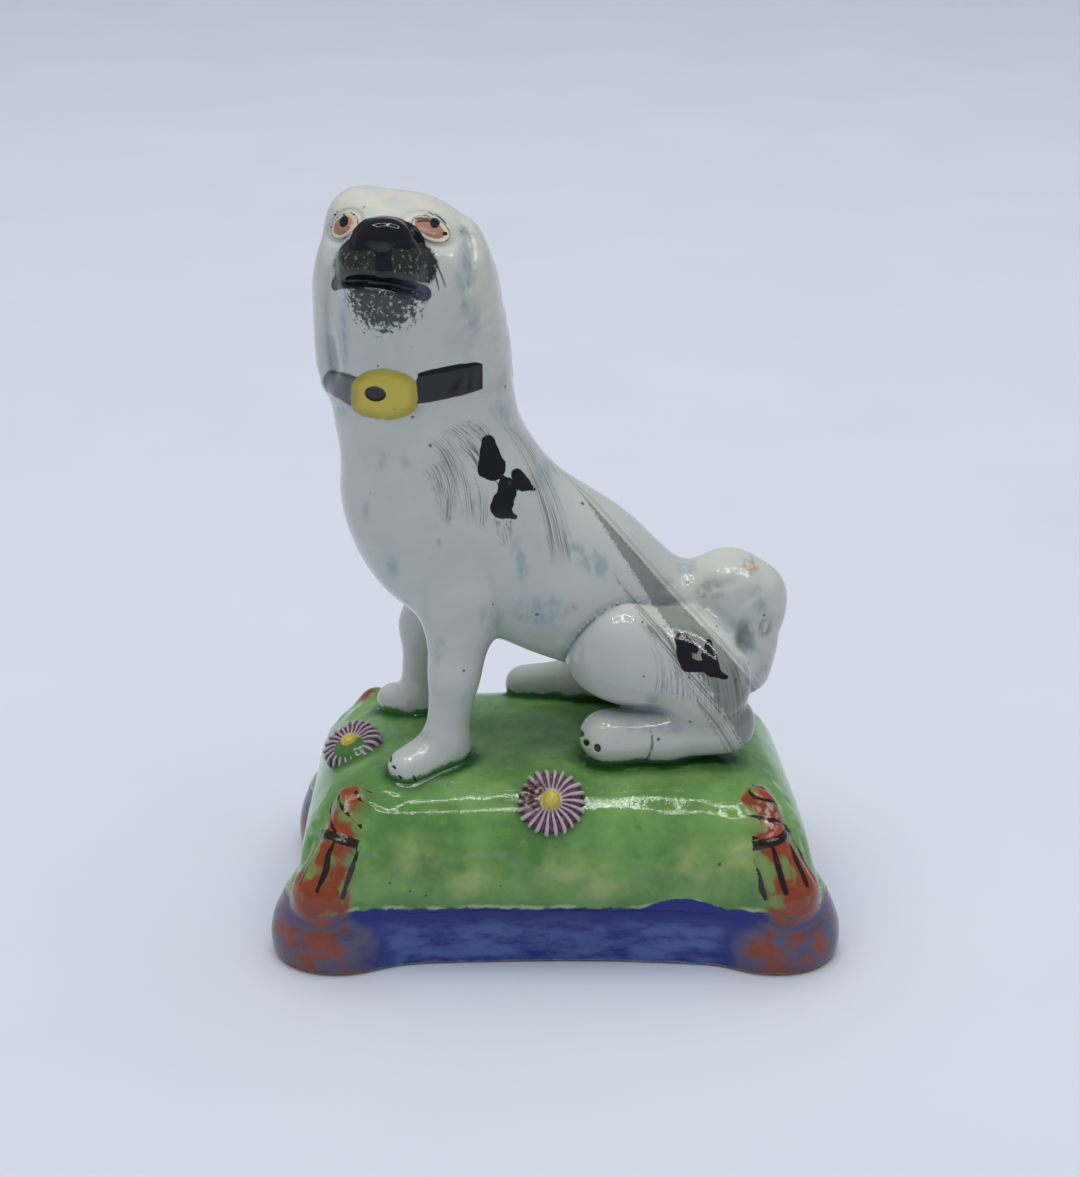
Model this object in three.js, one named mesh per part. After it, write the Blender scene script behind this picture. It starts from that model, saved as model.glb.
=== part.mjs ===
// Seated dog on a tasselled cushion, a small press-moulded earthenware figure.
// Millimetres, +Z up, X along the long side of the base, origin at the middle of the flat underside.
// The dog looks towards -Y and its chest is towards -X.
import * as THREE from 'three';

// ---------------------------------------------------------------- driving sizes
const GAP = 0.3;                                   // clear space between pieces
const DAISY_GAP = 0.6;                             // the same under a daisy, where the cushion curves most

const BASE = {
  halfLength: 41.0, halfWidth: 26.6,               // cushion at its widest, at z = waist
  cornerRadius: 9, waist: 14, lean: 0.0165, flare: 0.14,
  top: 30.2, crownX: 0.0011, crownY: 0.0016,       // crown of the upper side
  shoulder: 9.5,                                    // rounding between side and top
  bandHeight: 10.4, bandLength: 40.2, bandWidth: 24.2, bandCorner: 12, bandHollow: 0.0024,
  bandHollowEnd: 0.004, backNarrow: 0.05, skew: 0.03,
};
const PAD = { x: 35.2, y: 18.9, z: 3, r: [10.5, 10.2, 11.6], backShift: [1.5, 3.8] };
const TASSEL = {
  knot: [32.0, 19.0, 25.6], tie: [34.2, 23.6, 20.2], hem: [36.6, 24.0, 12.4],
  rKnot: 2.9, rTie: 2.7, rHem: 5.2,
};
const DAISY_FRONT = { at: [-0.8, -22.0, 27.9], face: [0.0, -0.74, 0.67], radius: 5.1, petals: 22 };
const DAISY_LEFT = { at: [-33.6, -3.6, 29.4], face: [-0.36, -0.42, 0.83], radius: 4.7, petals: 22 };
const DAISY = { thick: 2.3, dish: 0.5, ridge: 0.32, button: 1.45 };

const CHEST = { at: [-14.6, -2.0, 66.8], r: 16.0, low: [-19.1, -2.2, 74.4], lowR: 14.6 };
const RUMP = { at: [16.8, 2.6, 47.4], r: 10.6 };
const NECK = { at: [-21.0, -1.4, 92.0], r: 12.4 };
const HEAD = { at: [-23.2, -0.8, 105.4], r: [12.6, 11.8, 13.4] };
const GAZE = { yaw: -8, pitch: 18 };               // where the muzzle points, from -Y, degrees

// ---------------------------------------------------------------- field kit
const rad = Math.PI / 180;
function turn(e) {                                 // rotation matrix from x, y, z angles in degrees
  const [ax, ay, az] = e.map((v) => v * rad);
  const cx = Math.cos(ax), sx = Math.sin(ax), cy = Math.cos(ay), sy = Math.sin(ay), cz = Math.cos(az), sz = Math.sin(az);
  return [
    [cz * cy, cz * sy * sx - sz * cx, cz * sy * cx + sz * sx],
    [sz * cy, sz * sy * sx + cz * cx, sz * sy * cx - cz * sx],
    [-sy, cy * sx, cy * cx],
  ];
}
function ball(c, r, e) {                           // ellipsoid, e: turn in degrees or a set of axes
  const m = !e || Array.isArray(e) ? turn(e || [0, 0, 0]) : [0, 1, 2].map((i) => [e.s[i], e.f[i], e.t[i]]);
  const [r0, r1, r2] = r;
  return (x, y, z) => {
    const dx = x - c[0], dy = y - c[1], dz = z - c[2];
    const u = m[0][0] * dx + m[1][0] * dy + m[2][0] * dz;
    const v = m[0][1] * dx + m[1][1] * dy + m[2][1] * dz;
    const w = m[0][2] * dx + m[1][2] * dy + m[2][2] * dz;
    const a = u / r0, b = v / r1, g = w / r2;
    const k0 = Math.sqrt(a * a + b * b + g * g);
    const k1 = Math.sqrt((a / r0) ** 2 + (b / r1) ** 2 + (g / r2) ** 2);
    return k1 > 1e-9 ? k0 * (k0 - 1) / k1 : -Math.min(r0, r1, r2);
  };
}
function limb(a, b, ra, rb, flat) {                // round cone, made thinner along flat = [nx, ny, nz, scale]
  const ba = [b[0] - a[0], b[1] - a[1], b[2] - a[2]];
  const l2 = ba[0] ** 2 + ba[1] ** 2 + ba[2] ** 2, rr = ra - rb, a2 = l2 - rr * rr, il2 = 1 / l2;
  let n = null, s = 1, c = null;
  if (flat) {
    const q = Math.hypot(flat[0], flat[1], flat[2]);
    n = [flat[0] / q, flat[1] / q, flat[2] / q]; s = flat[3];
    c = [(a[0] + b[0]) / 2, (a[1] + b[1]) / 2, (a[2] + b[2]) / 2];
  }
  return (x, y, z) => {
    if (n) {
      const t = ((x - c[0]) * n[0] + (y - c[1]) * n[1] + (z - c[2]) * n[2]) * (1 / s - 1);
      x += n[0] * t; y += n[1] * t; z += n[2] * t;
    }
    const p0 = x - a[0], p1 = y - a[1], p2 = z - a[2];
    const h = p0 * ba[0] + p1 * ba[1] + p2 * ba[2], g = h - l2;
    const w0 = p0 * l2 - ba[0] * h, w1 = p1 * l2 - ba[1] * h, w2 = p2 * l2 - ba[2] * h;
    const x2 = w0 * w0 + w1 * w1 + w2 * w2, y2 = h * h * l2, z2 = g * g * l2;
    const k = Math.sign(rr) * rr * rr * x2;
    let d;
    if (Math.sign(g) * a2 * z2 > k) d = Math.sqrt(x2 + z2) * il2 - rb;
    else if (Math.sign(h) * a2 * y2 < k) d = Math.sqrt(x2 + y2) * il2 - ra;
    else d = (Math.sqrt(x2 * a2 * il2) + h * rr) * il2 - ra;
    return d * s;
  };
}
const soft = (a, b, k) => {                        // smooth minimum
  const w = 1.5 * k, h = Math.max(w - Math.abs(a - b), 0) / w;
  return Math.min(a, b) - h * h * h * w / 6;
};
const join = (k, ...f) => (x, y, z) => {
  let d = f[0](x, y, z);
  for (let i = 1; i < f.length; i++) d = soft(d, f[i](x, y, z), k);
  return d;
};

// ---------------------------------------------------------------- the dog
const look = (() => {                              // side, forward and up of the face
  const y = GAZE.yaw * rad, p = GAZE.pitch * rad;
  const f = [Math.sin(y) * Math.cos(p), -Math.cos(y) * Math.cos(p), Math.sin(p)];
  const s = [Math.cos(y), Math.sin(y), 0];
  const t = [f[1] * s[2] - f[2] * s[1], f[2] * s[0] - f[0] * s[2], f[0] * s[1] - f[1] * s[0]];
  return { s, f, t };
})();
function torsoField() {
  const body = limb(CHEST.at, RUMP.at, CHEST.r, RUMP.r, [-0.14, 0.99, 0, 0.84]);
  const breast = limb(NECK.at, CHEST.low, NECK.r, CHEST.lowR, [0, 1, 0, 0.9]);
  const loin = ball([3.2, 0.8, 58.6], [12.6, 11.0, 9.4], [0, 38, 0]);
  const seat = ball([20, 2.6, 40.5], [10.4, 10.4, 11.4]);
  return join(6, body, breast, loin, seat);
}
const MUZZLE = [-26.1, -13.2, 111.0];
const onMuzzle = (s, t, f) => [0, 1, 2].map((i) => MUZZLE[i] + s * look.s[i] + t * look.t[i] + f * look.f[i]);
function headField() {
  const skull = ball(HEAD.at, HEAD.r);
  const crown = ball([-30.1, 0.4, 115.2], [5.0, 7.2, 5.0]);
  const brow = ball([-23.2, -1.6, 113.4], [8.6, 8.8, 5.4], [0, 6, 0]);
  const hair = limb([-22.7, -0.8, 103], [-21.3, -1.2, 90], 12.9, 11.7, [0, 1, 0, 0.92]);
  const snout = limb(onMuzzle(0, -1.0, -8), onMuzzle(0, -0.8, -1.8), 7.8, 6.1, [...look.t, 1.05]);
  const lipL = ball(onMuzzle(-2.7, 1.4, -0.4), [4.0, 4.6, 4.8], look);
  const lipR = ball(onMuzzle(2.5, 1.3, -0.4), [4.0, 4.6, 4.8], look);
  const bridge = limb(onMuzzle(0, 5.2, -6), onMuzzle(0.2, 4.9, 0.2), 3.8, 3.2);
  const nose = ball(onMuzzle(0.3, 5.3, 2.4), [4.5, 2.7, 2.9], look);
  const chin = ball(onMuzzle(0.2, -4.2, -1.8), [5.0, 4.6, 4.6], look);
  const throat = limb(onMuzzle(0.2, -5, -4.6), [-23.6, -4.6, 92], 6.6, 8.8);
  const cheekR = ball([-17.8, -8.0, 106.4], [6.0, 6.0, 8.2], [0, 12, 0]);
  const cheekL = ball([-32.0, -5.2, 106], [4.6, 6.2, 8.4], [0, -6, 0]);
  const earNear = ball([-12.5, -1.5, 101.2], [4.0, 8.8, 14.6], [0, -5, 8]);
  const earFar = ball([-33.7, 0.6, 102.6], [3.3, 8.2, 13.2], [0, 4, -6]);
  let f = join(4, skull, crown, brow, hair, throat);
  f = join(3, f, cheekR, cheekL);
  f = join(2.2, f, join(2.4, snout, bridge, lipL, lipR));
  f = join(1.6, f, chin, nose);
  f = join(1.4, f, earNear, earFar);
  return f;
}
function foreNear() {
  const upper = limb([-14.6, -8.6, 58], [-16.1, -10.8, 44.5], 7.0, 3.7);
  const shin = limb([-16.1, -10.8, 44.5], [-17.3, -10.6, 34.8], 3.7, 3.5);
  const paw = limb([-17.6, -10.0, 31.6], [-23.4, -14.1, 29.7], 4.1, 3.4, [0, 0, 1, 0.92]);
  return join(2.4, upper, shin, paw);
}
function foreFar() {
  const upper = limb([-16.6, 6.0, 58], [-21.7, 8.6, 45], 7.0, 3.5);
  const shin = limb([-21.7, 8.6, 45], [-22.2, 9.2, 35], 3.5, 3.1);
  const paw = limb([-22.6, 9.4, 31.2], [-26.6, 11.4, 30.0], 3.9, 3.3, [0, 0, 1, 0.92]);
  return join(2.4, upper, shin, paw);
}
function hindNear() {
  const thigh = ball([14.4, -6.2, 46.2], [12.8, 8.9, 8.6], [0, -2, 0]);
  const knee = ball([9.4, -9.8, 49.6], [5.4, 5.3, 6.8], [0, 24, 0]);
  const hock = ball([24.2, -8.5, 42.3], [7.0, 8.2, 7.8], [0, 20, 0]);
  return join(4, thigh, knee, hock);
}
function footNear() {
  const heel = limb([27.1, -8.8, 35.1], [17.3, -10.2, 33.9], 5.0, 4.0);
  const toe = limb([17.3, -10.2, 33.9], [8.3, -11.0, 33.9], 4.0, 4.5, [0, 0, 1, 0.95]);
  return join(2, heel, toe);
}
function hindFar() {
  const thigh = ball([14.0, 11.6, 45.4], [13.2, 8.4, 8.8], [0, -8, 0]);
  const knee = ball([8.4, 13.4, 43.6], [6.4, 5.4, 6.4], [0, 25, 0]);
  const hock = ball([23.6, 12.0, 43.0], [7.4, 7.4, 9.6], [0, 12, 0]);
  return join(4, thigh, knee, hock);
}
function footFar() {
  const heel = limb([25.0, 12.6, 34.8], [4, 15.4, 32.2], 4.6, 3.6);
  const toe = limb([4, 15.4, 32.2], [-5.0, 16.0, 31.0], 3.6, 3.4, [0, 0, 1, 0.94]);
  return join(2, heel, toe);
}
function tailField() {
  const root = limb([19, 2.4, 50], [27.6, 1.0, 55.1], 6.2, 5.5);
  const bend = limb([27.6, 1.0, 55.1], [30.7, 1.0, 52.5], 5.5, 6.1);
  const fall = limb([30.7, 1.0, 52.5], [31.0, 0.2, 40.6], 6.1, 3.7);
  const web = ball([27.1, -1.6, 45.6], [7.8, 4.4, 8.4]);
  return join(2.6, root, bend, fall, web);
}
export function dogField() {
  const torso = torsoField(), head = headField();
  let f = join(6, torso, head);
  f = join(3.4, f, foreNear());
  f = join(3.4, f, foreFar());
  f = join(0.8, f, join(1.0, hindNear(), footNear()));
  f = join(3.0, f, tailField());
  f = join(1.0, f, join(1.0, hindFar(), footFar()));
  return f;
}

// ---------------------------------------------------------------- the cushion
const slab = (x, y, hx, hy, r) => {                // rounded rectangle in plan
  const qx = Math.abs(x) - hx + r, qy = Math.abs(y) - hy + r;
  return Math.hypot(Math.max(qx, 0), Math.max(qy, 0)) + Math.min(Math.max(qx, qy), 0) - r;
};
export function cushionTop(x, y) {
  return BASE.top - BASE.crownX * x * x - BASE.crownY * y * y;
}
export function cushionField() {
  const pads = [], tassels = [];
  for (const sx of [-1, 1]) for (const sy of [-1, 1]) {
    const back = sy > 0 ? PAD.backShift[sx < 0 ? 0 : 1] : 0;
    const m = (p) => [(p[0] - back) * sx, p[1] * sy, p[2]];
    pads.push(ball([(PAD.x - back) * sx, PAD.y * sy, PAD.z], PAD.r));
    tassels.push(join(1.2,
      limb(m(TASSEL.knot), m(TASSEL.tie), TASSEL.rKnot, TASSEL.rTie),
      limb(m(TASSEL.tie), m(TASSEL.hem), TASSEL.rTie, TASSEL.rHem)));
  }
  const corner = join(2.5, ...pads), tassel = join(0.8, ...tassels);
  return (x0, y, z) => {
    const x = (x0 + BASE.skew * (y + 14)) * (1 + BASE.backNarrow * Math.max(0, y + 14) / 40);
    const up = z - BASE.waist;
    const lean = up > 0 ? BASE.lean * up * up + BASE.flare * up * 0.5 : 0.03 * up * up;
    const side = slab(x, y, BASE.halfLength - lean, BASE.halfWidth - lean, BASE.cornerRadius);
    const top = z - cushionTop(x, y);
    let d = -soft(-side, -top, BASE.shoulder);
    d = Math.max(d, BASE.bandHeight - z);
    const hx = BASE.bandLength + BASE.bandHollowEnd * y * y, hy = BASE.bandWidth + BASE.bandHollow * x * x;
    const band = Math.max(slab(x, y, hx, hy, BASE.bandCorner), z - BASE.bandHeight - 1);
    d = soft(d, band, 1.2);
    d = soft(d, corner(x0, y, z), 3);
    d = soft(d, tassel(x0, y, z), 1.4);
    return Math.max(d, -z);
  };
}

// ---------------------------------------------------------------- the daisies
export function daisyField(D) {
  const n = new THREE.Vector3(...D.face).normalize();
  const e = new THREE.Vector3(1, 0, 0).addScaledVector(n, -n.x).normalize();
  const g = new THREE.Vector3().crossVectors(n, e);
  return (x, y, z) => {
    const dx = x - D.at[0], dy = y - D.at[1], dz = z - D.at[2];
    const u = dx * e.x + dy * e.y + dz * e.z, v = dx * g.x + dy * g.y + dz * g.z, w = dx * n.x + dy * n.y + dz * n.z;
    const r = Math.hypot(u, v), t = Math.atan2(v, u);
    const wave = Math.cos(D.petals * t) * DAISY.ridge * Math.min(1, Math.max(0, (r - 1.6) / 1.5));
    const rim = D.radius + wave;
    const bowl = w + DAISY.dish * (r / D.radius) ** 2 - wave * 0.6;
    const q0 = r - rim + 1.0, q1 = Math.abs(bowl + DAISY.thick / 2) - DAISY.thick / 2 + 1.0;
    let d = Math.hypot(Math.max(q0, 0), Math.max(q1, 0)) + Math.min(Math.max(q0, q1), 0) - 1.0;
    const button = Math.hypot(u, v, w) - DAISY.button;
    d = soft(d, button, 0.4);
    return d;
  };
}

// ---------------------------------------------------------------- surface of a field
export function polygonise(f, lo, hi, h) {
  const n = [0, 1, 2].map((i) => Math.ceil((hi[i] - lo[i]) / h) + 1);
  const at = (i, j, k) => (i * n[1] + j) * n[2] + k;
  const val = new Float64Array(n[0] * n[1] * n[2]);
  for (let i = 0; i < n[0]; i++) for (let j = 0; j < n[1]; j++) for (let k = 0; k < n[2]; k++) {
    let v = f(lo[0] + i * h, lo[1] + j * h, lo[2] + k * h);
    if (Math.abs(v) < 1e-5) v = 1e-5;
    val[at(i, j, k)] = v;
  }
  const verts = [], tris = [], known = new Map();
  const cross = (a, b) => {
    const key = a < b ? a * val.length + b : b * val.length + a;
    let id = known.get(key);
    if (id !== undefined) return id;
    const pa = [Math.floor(a / (n[1] * n[2])), Math.floor(a / n[2]) % n[1], a % n[2]];
    const pb = [Math.floor(b / (n[1] * n[2])), Math.floor(b / n[2]) % n[1], b % n[2]];
    let t = val[a] / (val[a] - val[b]);
    t = Math.min(0.97, Math.max(0.03, t));
    id = verts.length;
    verts.push([0, 1, 2].map((q) => lo[q] + h * (pa[q] + t * (pb[q] - pa[q]))));
    known.set(key, id);
    return id;
  };
  const cell = [[0, 0, 0], [1, 0, 0], [1, 1, 0], [0, 1, 0], [0, 0, 1], [1, 0, 1], [1, 1, 1], [0, 1, 1]];
  const tets = [[0, 5, 1, 6], [0, 1, 2, 6], [0, 2, 3, 6], [0, 3, 7, 6], [0, 7, 4, 6], [0, 4, 5, 6]];
  for (let i = 0; i < n[0] - 1; i++) for (let j = 0; j < n[1] - 1; j++) for (let k = 0; k < n[2] - 1; k++) {
    const c = cell.map((o) => at(i + o[0], j + o[1], k + o[2]));
    let inside = 0;
    for (let q = 0; q < 8; q++) inside += val[c[q]] < 0;
    if (inside === 0 || inside === 8) continue;
    for (const T of tets) {
      const ins = [], out = [];
      for (const q of T) (val[c[q]] < 0 ? ins : out).push(q);
      if (!ins.length || !out.length) continue;
      let poly;
      if (ins.length === 1) poly = out.map((o) => cross(c[ins[0]], c[o]));
      else if (out.length === 1) poly = ins.map((o) => cross(c[out[0]], c[o]));
      else poly = [cross(c[ins[0]], c[out[0]]), cross(c[ins[0]], c[out[1]]), cross(c[ins[1]], c[out[1]]), cross(c[ins[1]], c[out[0]])];
      // faces point from the inside to the outside
      const g = [0, 0, 0];
      for (const q of out) for (let s = 0; s < 3; s++) g[s] += cell[q][s] / out.length;
      for (const q of ins) for (let s = 0; s < 3; s++) g[s] -= cell[q][s] / ins.length;
      const [A, B, C] = poly.map((q) => verts[q]);
      const ux = B[0] - A[0], uy = B[1] - A[1], uz = B[2] - A[2], vx = C[0] - A[0], vy = C[1] - A[1], vz = C[2] - A[2];
      const flip = (uy * vz - uz * vy) * g[0] + (uz * vx - ux * vz) * g[1] + (ux * vy - uy * vx) * g[2] < 0;
      if (flip) poly.reverse();
      tris.push([poly[0], poly[1], poly[2]]);
      if (poly.length === 4) tris.push([poly[0], poly[2], poly[3]]);
    }
  }
  return { verts, tris };
}

// thins a closed surface to a wished number of triangles, cheapest edge first
export function thin(mesh, target) {
  const V = mesh.verts.map((p) => p.slice()), T = mesh.tris.map((t) => t.slice());
  const alive = new Uint8Array(T.length).fill(1), ring = V.map(() => new Set());
  T.forEach((t, i) => t.forEach((v) => ring[v].add(i)));
  const Q = V.map(() => new Float64Array(10));
  const plane = (t) => {
    const [A, B, C] = t.map((v) => V[v]);
    const u = [B[0] - A[0], B[1] - A[1], B[2] - A[2]], v = [C[0] - A[0], C[1] - A[1], C[2] - A[2]];
    const n = [u[1] * v[2] - u[2] * v[1], u[2] * v[0] - u[0] * v[2], u[0] * v[1] - u[1] * v[0]];
    const l = Math.hypot(...n);
    return [n[0], n[1], n[2], l];
  };
  T.forEach((t) => {
    const [a, b, c, l] = plane(t);
    if (l < 1e-12) return;
    const n = [a / l, b / l, c / l], p = V[t[0]], d = -(n[0] * p[0] + n[1] * p[1] + n[2] * p[2]), w = l / 2;
    for (const v of t) {
      const q = Q[v];
      q[0] += w * n[0] * n[0]; q[1] += w * n[0] * n[1]; q[2] += w * n[0] * n[2]; q[3] += w * n[0] * d;
      q[4] += w * n[1] * n[1]; q[5] += w * n[1] * n[2]; q[6] += w * n[1] * d;
      q[7] += w * n[2] * n[2]; q[8] += w * n[2] * d; q[9] += w * d * d;
    }
  });
  const cost = (q, x, y, z) => q[0] * x * x + 2 * q[1] * x * y + 2 * q[2] * x * z + 2 * q[3] * x + q[4] * y * y
    + 2 * q[5] * y * z + 2 * q[6] * y + q[7] * z * z + 2 * q[8] * z + q[9];
  const best = (a, b) => {
    const q = Q[a].map((v, i) => v + Q[b][i]);
    const A = V[a], B = V[b], M = [(A[0] + B[0]) / 2, (A[1] + B[1]) / 2, (A[2] + B[2]) / 2];
    const len2 = (A[0] - B[0]) ** 2 + (A[1] - B[1]) ** 2 + (A[2] - B[2]) ** 2;
    const e = 1e-3 * (q[0] + q[4] + q[7]);
    const m = [[q[0] + e, q[1], q[2]], [q[1], q[4] + e, q[5]], [q[2], q[5], q[7] + e]];
    const r = [-q[3] + e * M[0], -q[6] + e * M[1], -q[8] + e * M[2]];
    const det = m[0][0] * (m[1][1] * m[2][2] - m[1][2] * m[2][1]) - m[0][1] * (m[1][0] * m[2][2] - m[1][2] * m[2][0])
      + m[0][2] * (m[1][0] * m[2][1] - m[1][1] * m[2][0]);
    let p = M;
    if (Math.abs(det) > 1e-12) {
      const D = (c) => {
        const k = m.map((row, i) => row.map((v, j) => (j === c ? r[i] : v)));
        return k[0][0] * (k[1][1] * k[2][2] - k[1][2] * k[2][1]) - k[0][1] * (k[1][0] * k[2][2] - k[1][2] * k[2][0])
          + k[0][2] * (k[1][0] * k[2][1] - k[1][1] * k[2][0]);
      };
      const s = [D(0) / det, D(1) / det, D(2) / det];
      if ((s[0] - M[0]) ** 2 + (s[1] - M[1]) ** 2 + (s[2] - M[2]) ** 2 < len2) p = s;
    }
    return [Math.max(0, cost(q, ...p)) + 2e-5 * len2 * len2, p];
  };
  const stamp = new Uint32Array(V.length), heap = [];
  const push = (it) => {
    heap.push(it); let i = heap.length - 1;
    while (i > 0) { const p = (i - 1) >> 1; if (heap[p][0] <= heap[i][0]) break; [heap[p], heap[i]] = [heap[i], heap[p]]; i = p; }
  };
  const pop = () => {
    const top = heap[0], last = heap.pop();
    if (heap.length) {
      heap[0] = last; let i = 0;
      for (;;) {
        let c = 2 * i + 1; if (c >= heap.length) break;
        if (c + 1 < heap.length && heap[c + 1][0] < heap[c][0]) c++;
        if (heap[i][0] <= heap[c][0]) break;
        [heap[c], heap[i]] = [heap[i], heap[c]]; i = c;
      }
    }
    return top;
  };
  const offer = (a, b) => { const [c, p] = best(a, b); push([c, a, b, stamp[a], stamp[b], p]); };
  T.forEach((t) => { for (let i = 0; i < 3; i++) if (t[i] < t[(i + 1) % 3]) offer(t[i], t[(i + 1) % 3]); });
  const near = (v) => { const s = new Set(); for (const t of ring[v]) for (const w of T[t]) if (w !== v) s.add(w); return s; };
  let count = T.length;
  while (count > target && heap.length) {
    const [, a, b, sa, sb, p] = pop();
    if (stamp[a] !== sa || stamp[b] !== sb || !ring[a].size || !ring[b].size) continue;
    const na = near(a), nb = near(b);
    let shared = 0; for (const v of na) if (nb.has(v)) shared++;
    if (shared !== 2) continue;
    let ok = true;
    const keep = [];
    for (const [v, o] of [[a, b], [b, a]]) for (const t of ring[v]) {
      if (T[t].includes(o)) continue;
      const before = plane(T[t]);
      const old = V[v]; V[v] = p;
      const after = plane(T[t]); V[v] = old;
      const dot = before[0] * after[0] + before[1] * after[1] + before[2] * after[2];
      if (after[3] < 1e-3 || dot < 0.35 * before[3] * after[3]) { ok = false; break; }
      const tri = T[t].map((w) => (w === v ? p : V[w]));
      const e0 = Math.hypot(tri[0][0] - tri[1][0], tri[0][1] - tri[1][1], tri[0][2] - tri[1][2]);
      const e1 = Math.hypot(tri[1][0] - tri[2][0], tri[1][1] - tri[2][1], tri[1][2] - tri[2][2]);
      const e2 = Math.hypot(tri[2][0] - tri[0][0], tri[2][1] - tri[0][1], tri[2][2] - tri[0][2]);
      if (after[3] / (e0 * e0 + e1 * e1 + e2 * e2) < 0.02) { ok = false; break; }
      keep.push(t);
    }
    if (!ok) continue;
    V[a] = p; for (let i = 0; i < 10; i++) Q[a][i] += Q[b][i];
    for (const t of [...ring[b]]) {
      if (T[t].includes(a)) { if (alive[t]) { alive[t] = 0; count--; } for (const v of T[t]) ring[v].delete(t); } else {
        T[t] = T[t].map((v) => (v === b ? a : v)); ring[a].add(t);
      }
    }
    ring[b].clear(); stamp[a]++; stamp[b]++;
    for (const v of near(a)) offer(a, v);
  }
  const map = new Map(), verts = [], tris = [];
  T.forEach((t, i) => {
    if (!alive[i]) return;
    tris.push(t.map((v) => { if (!map.has(v)) { map.set(v, verts.length); verts.push(V[v]); } return map.get(v); }));
  });
  return { verts, tris };
}

const settle = (mesh) => {                         // the underside lies exactly in the plane z = 0
  for (const v of mesh.verts) if (Math.abs(v[2]) < 0.08) v[2] = 0;
  return mesh;
};
function geometry(mesh) {
  const g = new THREE.BufferGeometry();
  g.setAttribute('position', new THREE.Float32BufferAttribute(mesh.verts.flat(), 3));
  g.setIndex(mesh.tris.flat());
  g.computeVertexNormals();
  return g;
}
function piece(name, field, box, step, target, color, roughness) {
  const mesh = settle(thin(settle(polygonise(field, box[0], box[1], step)), target));
  const m = new THREE.Mesh(geometry(mesh), new THREE.MeshStandardMaterial({ color, roughness, metalness: 0 }));
  m.name = name;
  return m;
}

export const BOX = {                               // room that each piece is looked for in
  cushion: [[-49.2, -33.2, -1.78], [49.2, 33.2, 35]],
  dog: [[-41, -22, 24], [41, 23, 124]],
  daisyFront: [[-7.7, -29, 19], [6.3, -15, 35]],
  daisyLeft: [[-40.5, -10.5, 22.5], [-26.5, 3.5, 36.5]],
};
const clear = (f, g, gap) => (x, y, z) => Math.max(f(x, y, z), gap - g(x, y, z));   // keeps clear of its neighbour

const group = new THREE.Group();
const cushion = cushionField();
group.add(
  piece('cushion_base', cushion, BOX.cushion, 1.6, 2600, 0x6f9d5e, 0.25),
  piece('dog', clear(dogField(), cushion, GAP), BOX.dog, 1.4, 5900, 0xc9cbc4, 0.2),
  piece('daisy_front', clear(daisyField(DAISY_FRONT), cushion, DAISY_GAP), BOX.daisyFront, 0.5, 600, 0x8a5a72, 0.3),
  piece('daisy_left', clear(daisyField(DAISY_LEFT), cushion, DAISY_GAP), BOX.daisyLeft, 0.5, 600, 0x8a5a72, 0.3),
);
export default group;
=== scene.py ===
import math
import bpy
import numpy as np
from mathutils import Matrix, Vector


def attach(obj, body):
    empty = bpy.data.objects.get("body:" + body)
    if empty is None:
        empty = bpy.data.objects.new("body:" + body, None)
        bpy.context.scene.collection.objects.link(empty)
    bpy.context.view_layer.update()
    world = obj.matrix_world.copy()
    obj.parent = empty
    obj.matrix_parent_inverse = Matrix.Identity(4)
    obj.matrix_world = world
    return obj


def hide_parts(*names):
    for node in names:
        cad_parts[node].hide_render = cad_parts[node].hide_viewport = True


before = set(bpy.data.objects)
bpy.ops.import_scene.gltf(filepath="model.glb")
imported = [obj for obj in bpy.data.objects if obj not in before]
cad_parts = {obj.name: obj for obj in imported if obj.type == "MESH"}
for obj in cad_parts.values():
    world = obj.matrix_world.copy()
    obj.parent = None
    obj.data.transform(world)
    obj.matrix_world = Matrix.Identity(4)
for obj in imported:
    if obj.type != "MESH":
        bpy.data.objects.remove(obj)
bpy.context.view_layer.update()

# ------------------------------------------------------------------ field kit, millimetres
def turn(e):
    ax, ay, az = (math.radians(v) for v in e)
    cx, sx, cy, sy, cz, sz = math.cos(ax), math.sin(ax), math.cos(ay), math.sin(ay), math.cos(az), math.sin(az)
    return np.array([[cz * cy, cz * sy * sx - sz * cx, cz * sy * cx + sz * sx],
                     [sz * cy, sz * sy * sx + cz * cx, sz * sy * cx - cz * sx],
                     [-sy, cy * sx, cy * cx]])


def ball(P, c, r, e=(0, 0, 0)):
    """Ellipsoid with centre c and radii r; e is a turn in degrees or a matrix of axes."""
    m = e if isinstance(e, np.ndarray) else turn(e)
    q = (P - np.array(c, float)) @ m
    r = np.array(r, float)
    k0 = np.sqrt((q / r * (q / r)).sum(1))
    k1 = np.sqrt(((q / (r * r)) ** 2).sum(1))
    return np.where(k1 > 1e-9, k0 * (k0 - 1) / np.maximum(k1, 1e-9), -r.min())


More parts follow.
